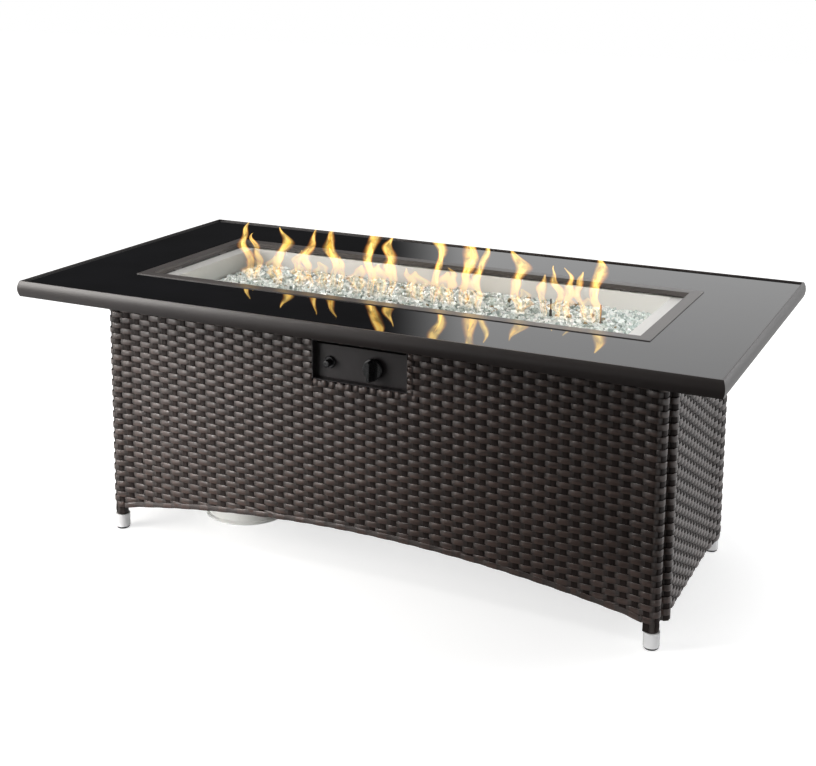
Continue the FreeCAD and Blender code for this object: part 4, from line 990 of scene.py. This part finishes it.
def folded_ends(level):
    """Strand ends turned over the edge of the cut-out, below it and to its right.

    Each runs along the face, then a quarter round over the edge and in to the sleeve: its
    distance from the edge is the radius times 1 minus the sine of the turn.
    """
    turn = np.linspace(0, math.pi / 2, 6)
    lean = np.concatenate([[0, 0], turn, [math.pi / 2]])
    gap = np.concatenate([[fold_run, fold_middle], fold_radius * (1 - np.sin(turn)), [0]])
    gap = gap + fold_gap
    stand = np.concatenate([[0, 0], fold_radius * (np.cos(turn) - 1), [-fold_radius - fold_end]])
    stand = stand + fold_stand
    inner_gap = gap + fold_thickness * np.sin(lean)
    inner_stand = stand - fold_thickness * np.cos(lean)
    from_edge = np.stack([gap, gap, inner_gap, inner_gap], 1)
    off = np.stack([stand, stand, inner_stand, inner_stand], 1)
    for x in np.arange(cut_left + 0.5 * fold_pitch, cut_right + fold_pitch, fold_pitch):
        sides = np.broadcast_to(x + fold_half * np.array([1, -1, -1, 1]), off.shape)
        places = np.stack([sides, -(skin_y + off), cut_low - from_edge], -1)
        level.put(places, np.stack([from_edge, sides], -1))
    for number, height in row_heights:
        if cut_low < height < cut_high:
            sides = np.broadcast_to(height + side_fold_half * np.array([1, -1, -1, 1]), off.shape)
            places = np.stack([cut_right + from_edge, -(skin_y + off), sides], -1)
            level.put(places, np.stack([from_edge, sides], -1))


front_end = front_plan[2][-1]
level, upright = woven_panel(front_plan, row_heights, front_gaps, arch_foot, woven_top,
                             control_hole)
border(level)
folded_ends(level)
front_rows = level.piece("front_rows", row_resin)
front_stakes = upright.piece("front_stakes", shaded_stake_resin)
level, upright = woven_panel(front_plan, row_heights, arch_gap, arch_foot, woven_top,
                             lambda mark: [])
border(level)
back_rows = level.piece("back_rows", row_resin, turn=(1, -1))
back_stakes = upright.piece("back_stakes", shaded_stake_resin, turn=(1, -1))
# Near-black sheets behind the long sides: painted shade for the inside of the base.
inner = shade_sheet(front_plan, ((-front_end, cut_left, arch_foot, woven_top),
                            (cut_left, cut_right, arch_foot, cut_low),
                            (cut_left, cut_right, lambda mark: cut_high, woven_top),
                            (cut_right, front_end, arch_foot, woven_top)))
front_shade_sheet = inner.piece("front_shade_sheet", painted_shade_sheet)
inner = shade_sheet(front_plan, ((-front_end, front_end, arch_foot, woven_top),))
back_shade_sheet = inner.piece("back_shade_sheet", painted_shade_sheet, turn=(1, -1))
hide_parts("panel_front")
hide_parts("panel_back")
for piece in (front_rows, front_stakes, front_shade_sheet, back_rows, back_stakes, back_shade_sheet):
    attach(piece, "table")

side_plan = plan_line(end_plan())
side_low = 0.047
side_first = side_low + 0.006
side_end = side_plan[2][-1]
for name, node, body, turn in (("right", "panel_right", "table", None),
                               ("door", "access_door", "access_door", (-1, 1))):
    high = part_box(node)[1]
    side_rows = [(number, side_first + number * row_pitch)
                 for number in range(int((high.z - side_first) / row_pitch))]
    level, upright = woven_panel(side_plan, side_rows, lambda height: [],
                                 lambda mark: side_low, high.z, lambda mark: [])
    rows = level.piece(name + "_rows", row_resin, turn=turn)
    stakes = upright.piece(name + "_stakes", shaded_stake_resin, turn=turn)
    # A near-black sheet behind the end panel: painted shade for the inside of the base.
    inner = shade_sheet(side_plan, ((-side_end, side_end, lambda mark: side_low, high.z),))
    inner = inner.piece(name + "_shade_sheet", painted_shade_sheet, turn=turn)
    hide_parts(node)
    for piece in (rows, stakes, inner):
        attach(piece, body)


# Base frame. Square and round tubes in brown powder coat behind the weave, the legs
# among them, with polished sleeves and levelling glides at the floor.

sleeve_polish = finish_material("sleeve_polish", (0.97, 0.97, 0.98), 0.14, metal=0.25,
                                grain=240, grain_depth=0.02, grain_stretch=(1, 1, 0.05),
                                mottle=0.02)
glide_rubber = finish_material("glide_rubber", (0.020, 0.020, 0.020), 0.6, grain=800,
                               grain_depth=0.15)
dress(frame_coat, "arch_tubes", "top_tubes_long", "end_tubes", "leg_tubes")
dress(sleeve_polish, "foot_sleeves")
dress(glide_rubber, "leg_plugs", "glide_front_left", "glide_front_right",
      "glide_back_left", "glide_back_right")
dress(plated_steel, "hinge_brackets", "hinge_pins", "strike_plate")
dress(knob_plastic, "door_catch")


# Gas cylinder. Drawn and welded steel in pale grey enamel, with a rolled foot ring, a
# guard with two grips and a brass valve under a black hand wheel.

cylinder_enamel = finish_material("cylinder_enamel", (0.93, 0.93, 0.90), 0.30, gloss=0.5,
                                  grain=120, grain_depth=0.08, mottle=0.04)
wheel_plastic = finish_material("wheel_plastic", (0.020, 0.020, 0.020), 0.42, grain=800,
                                grain_depth=0.08)
dress(cylinder_enamel, "cylinder_shell", "cylinder_foot", "cylinder_collar")
dress(brass, "cylinder_valve")
dress(wheel_plastic, "handwheel")
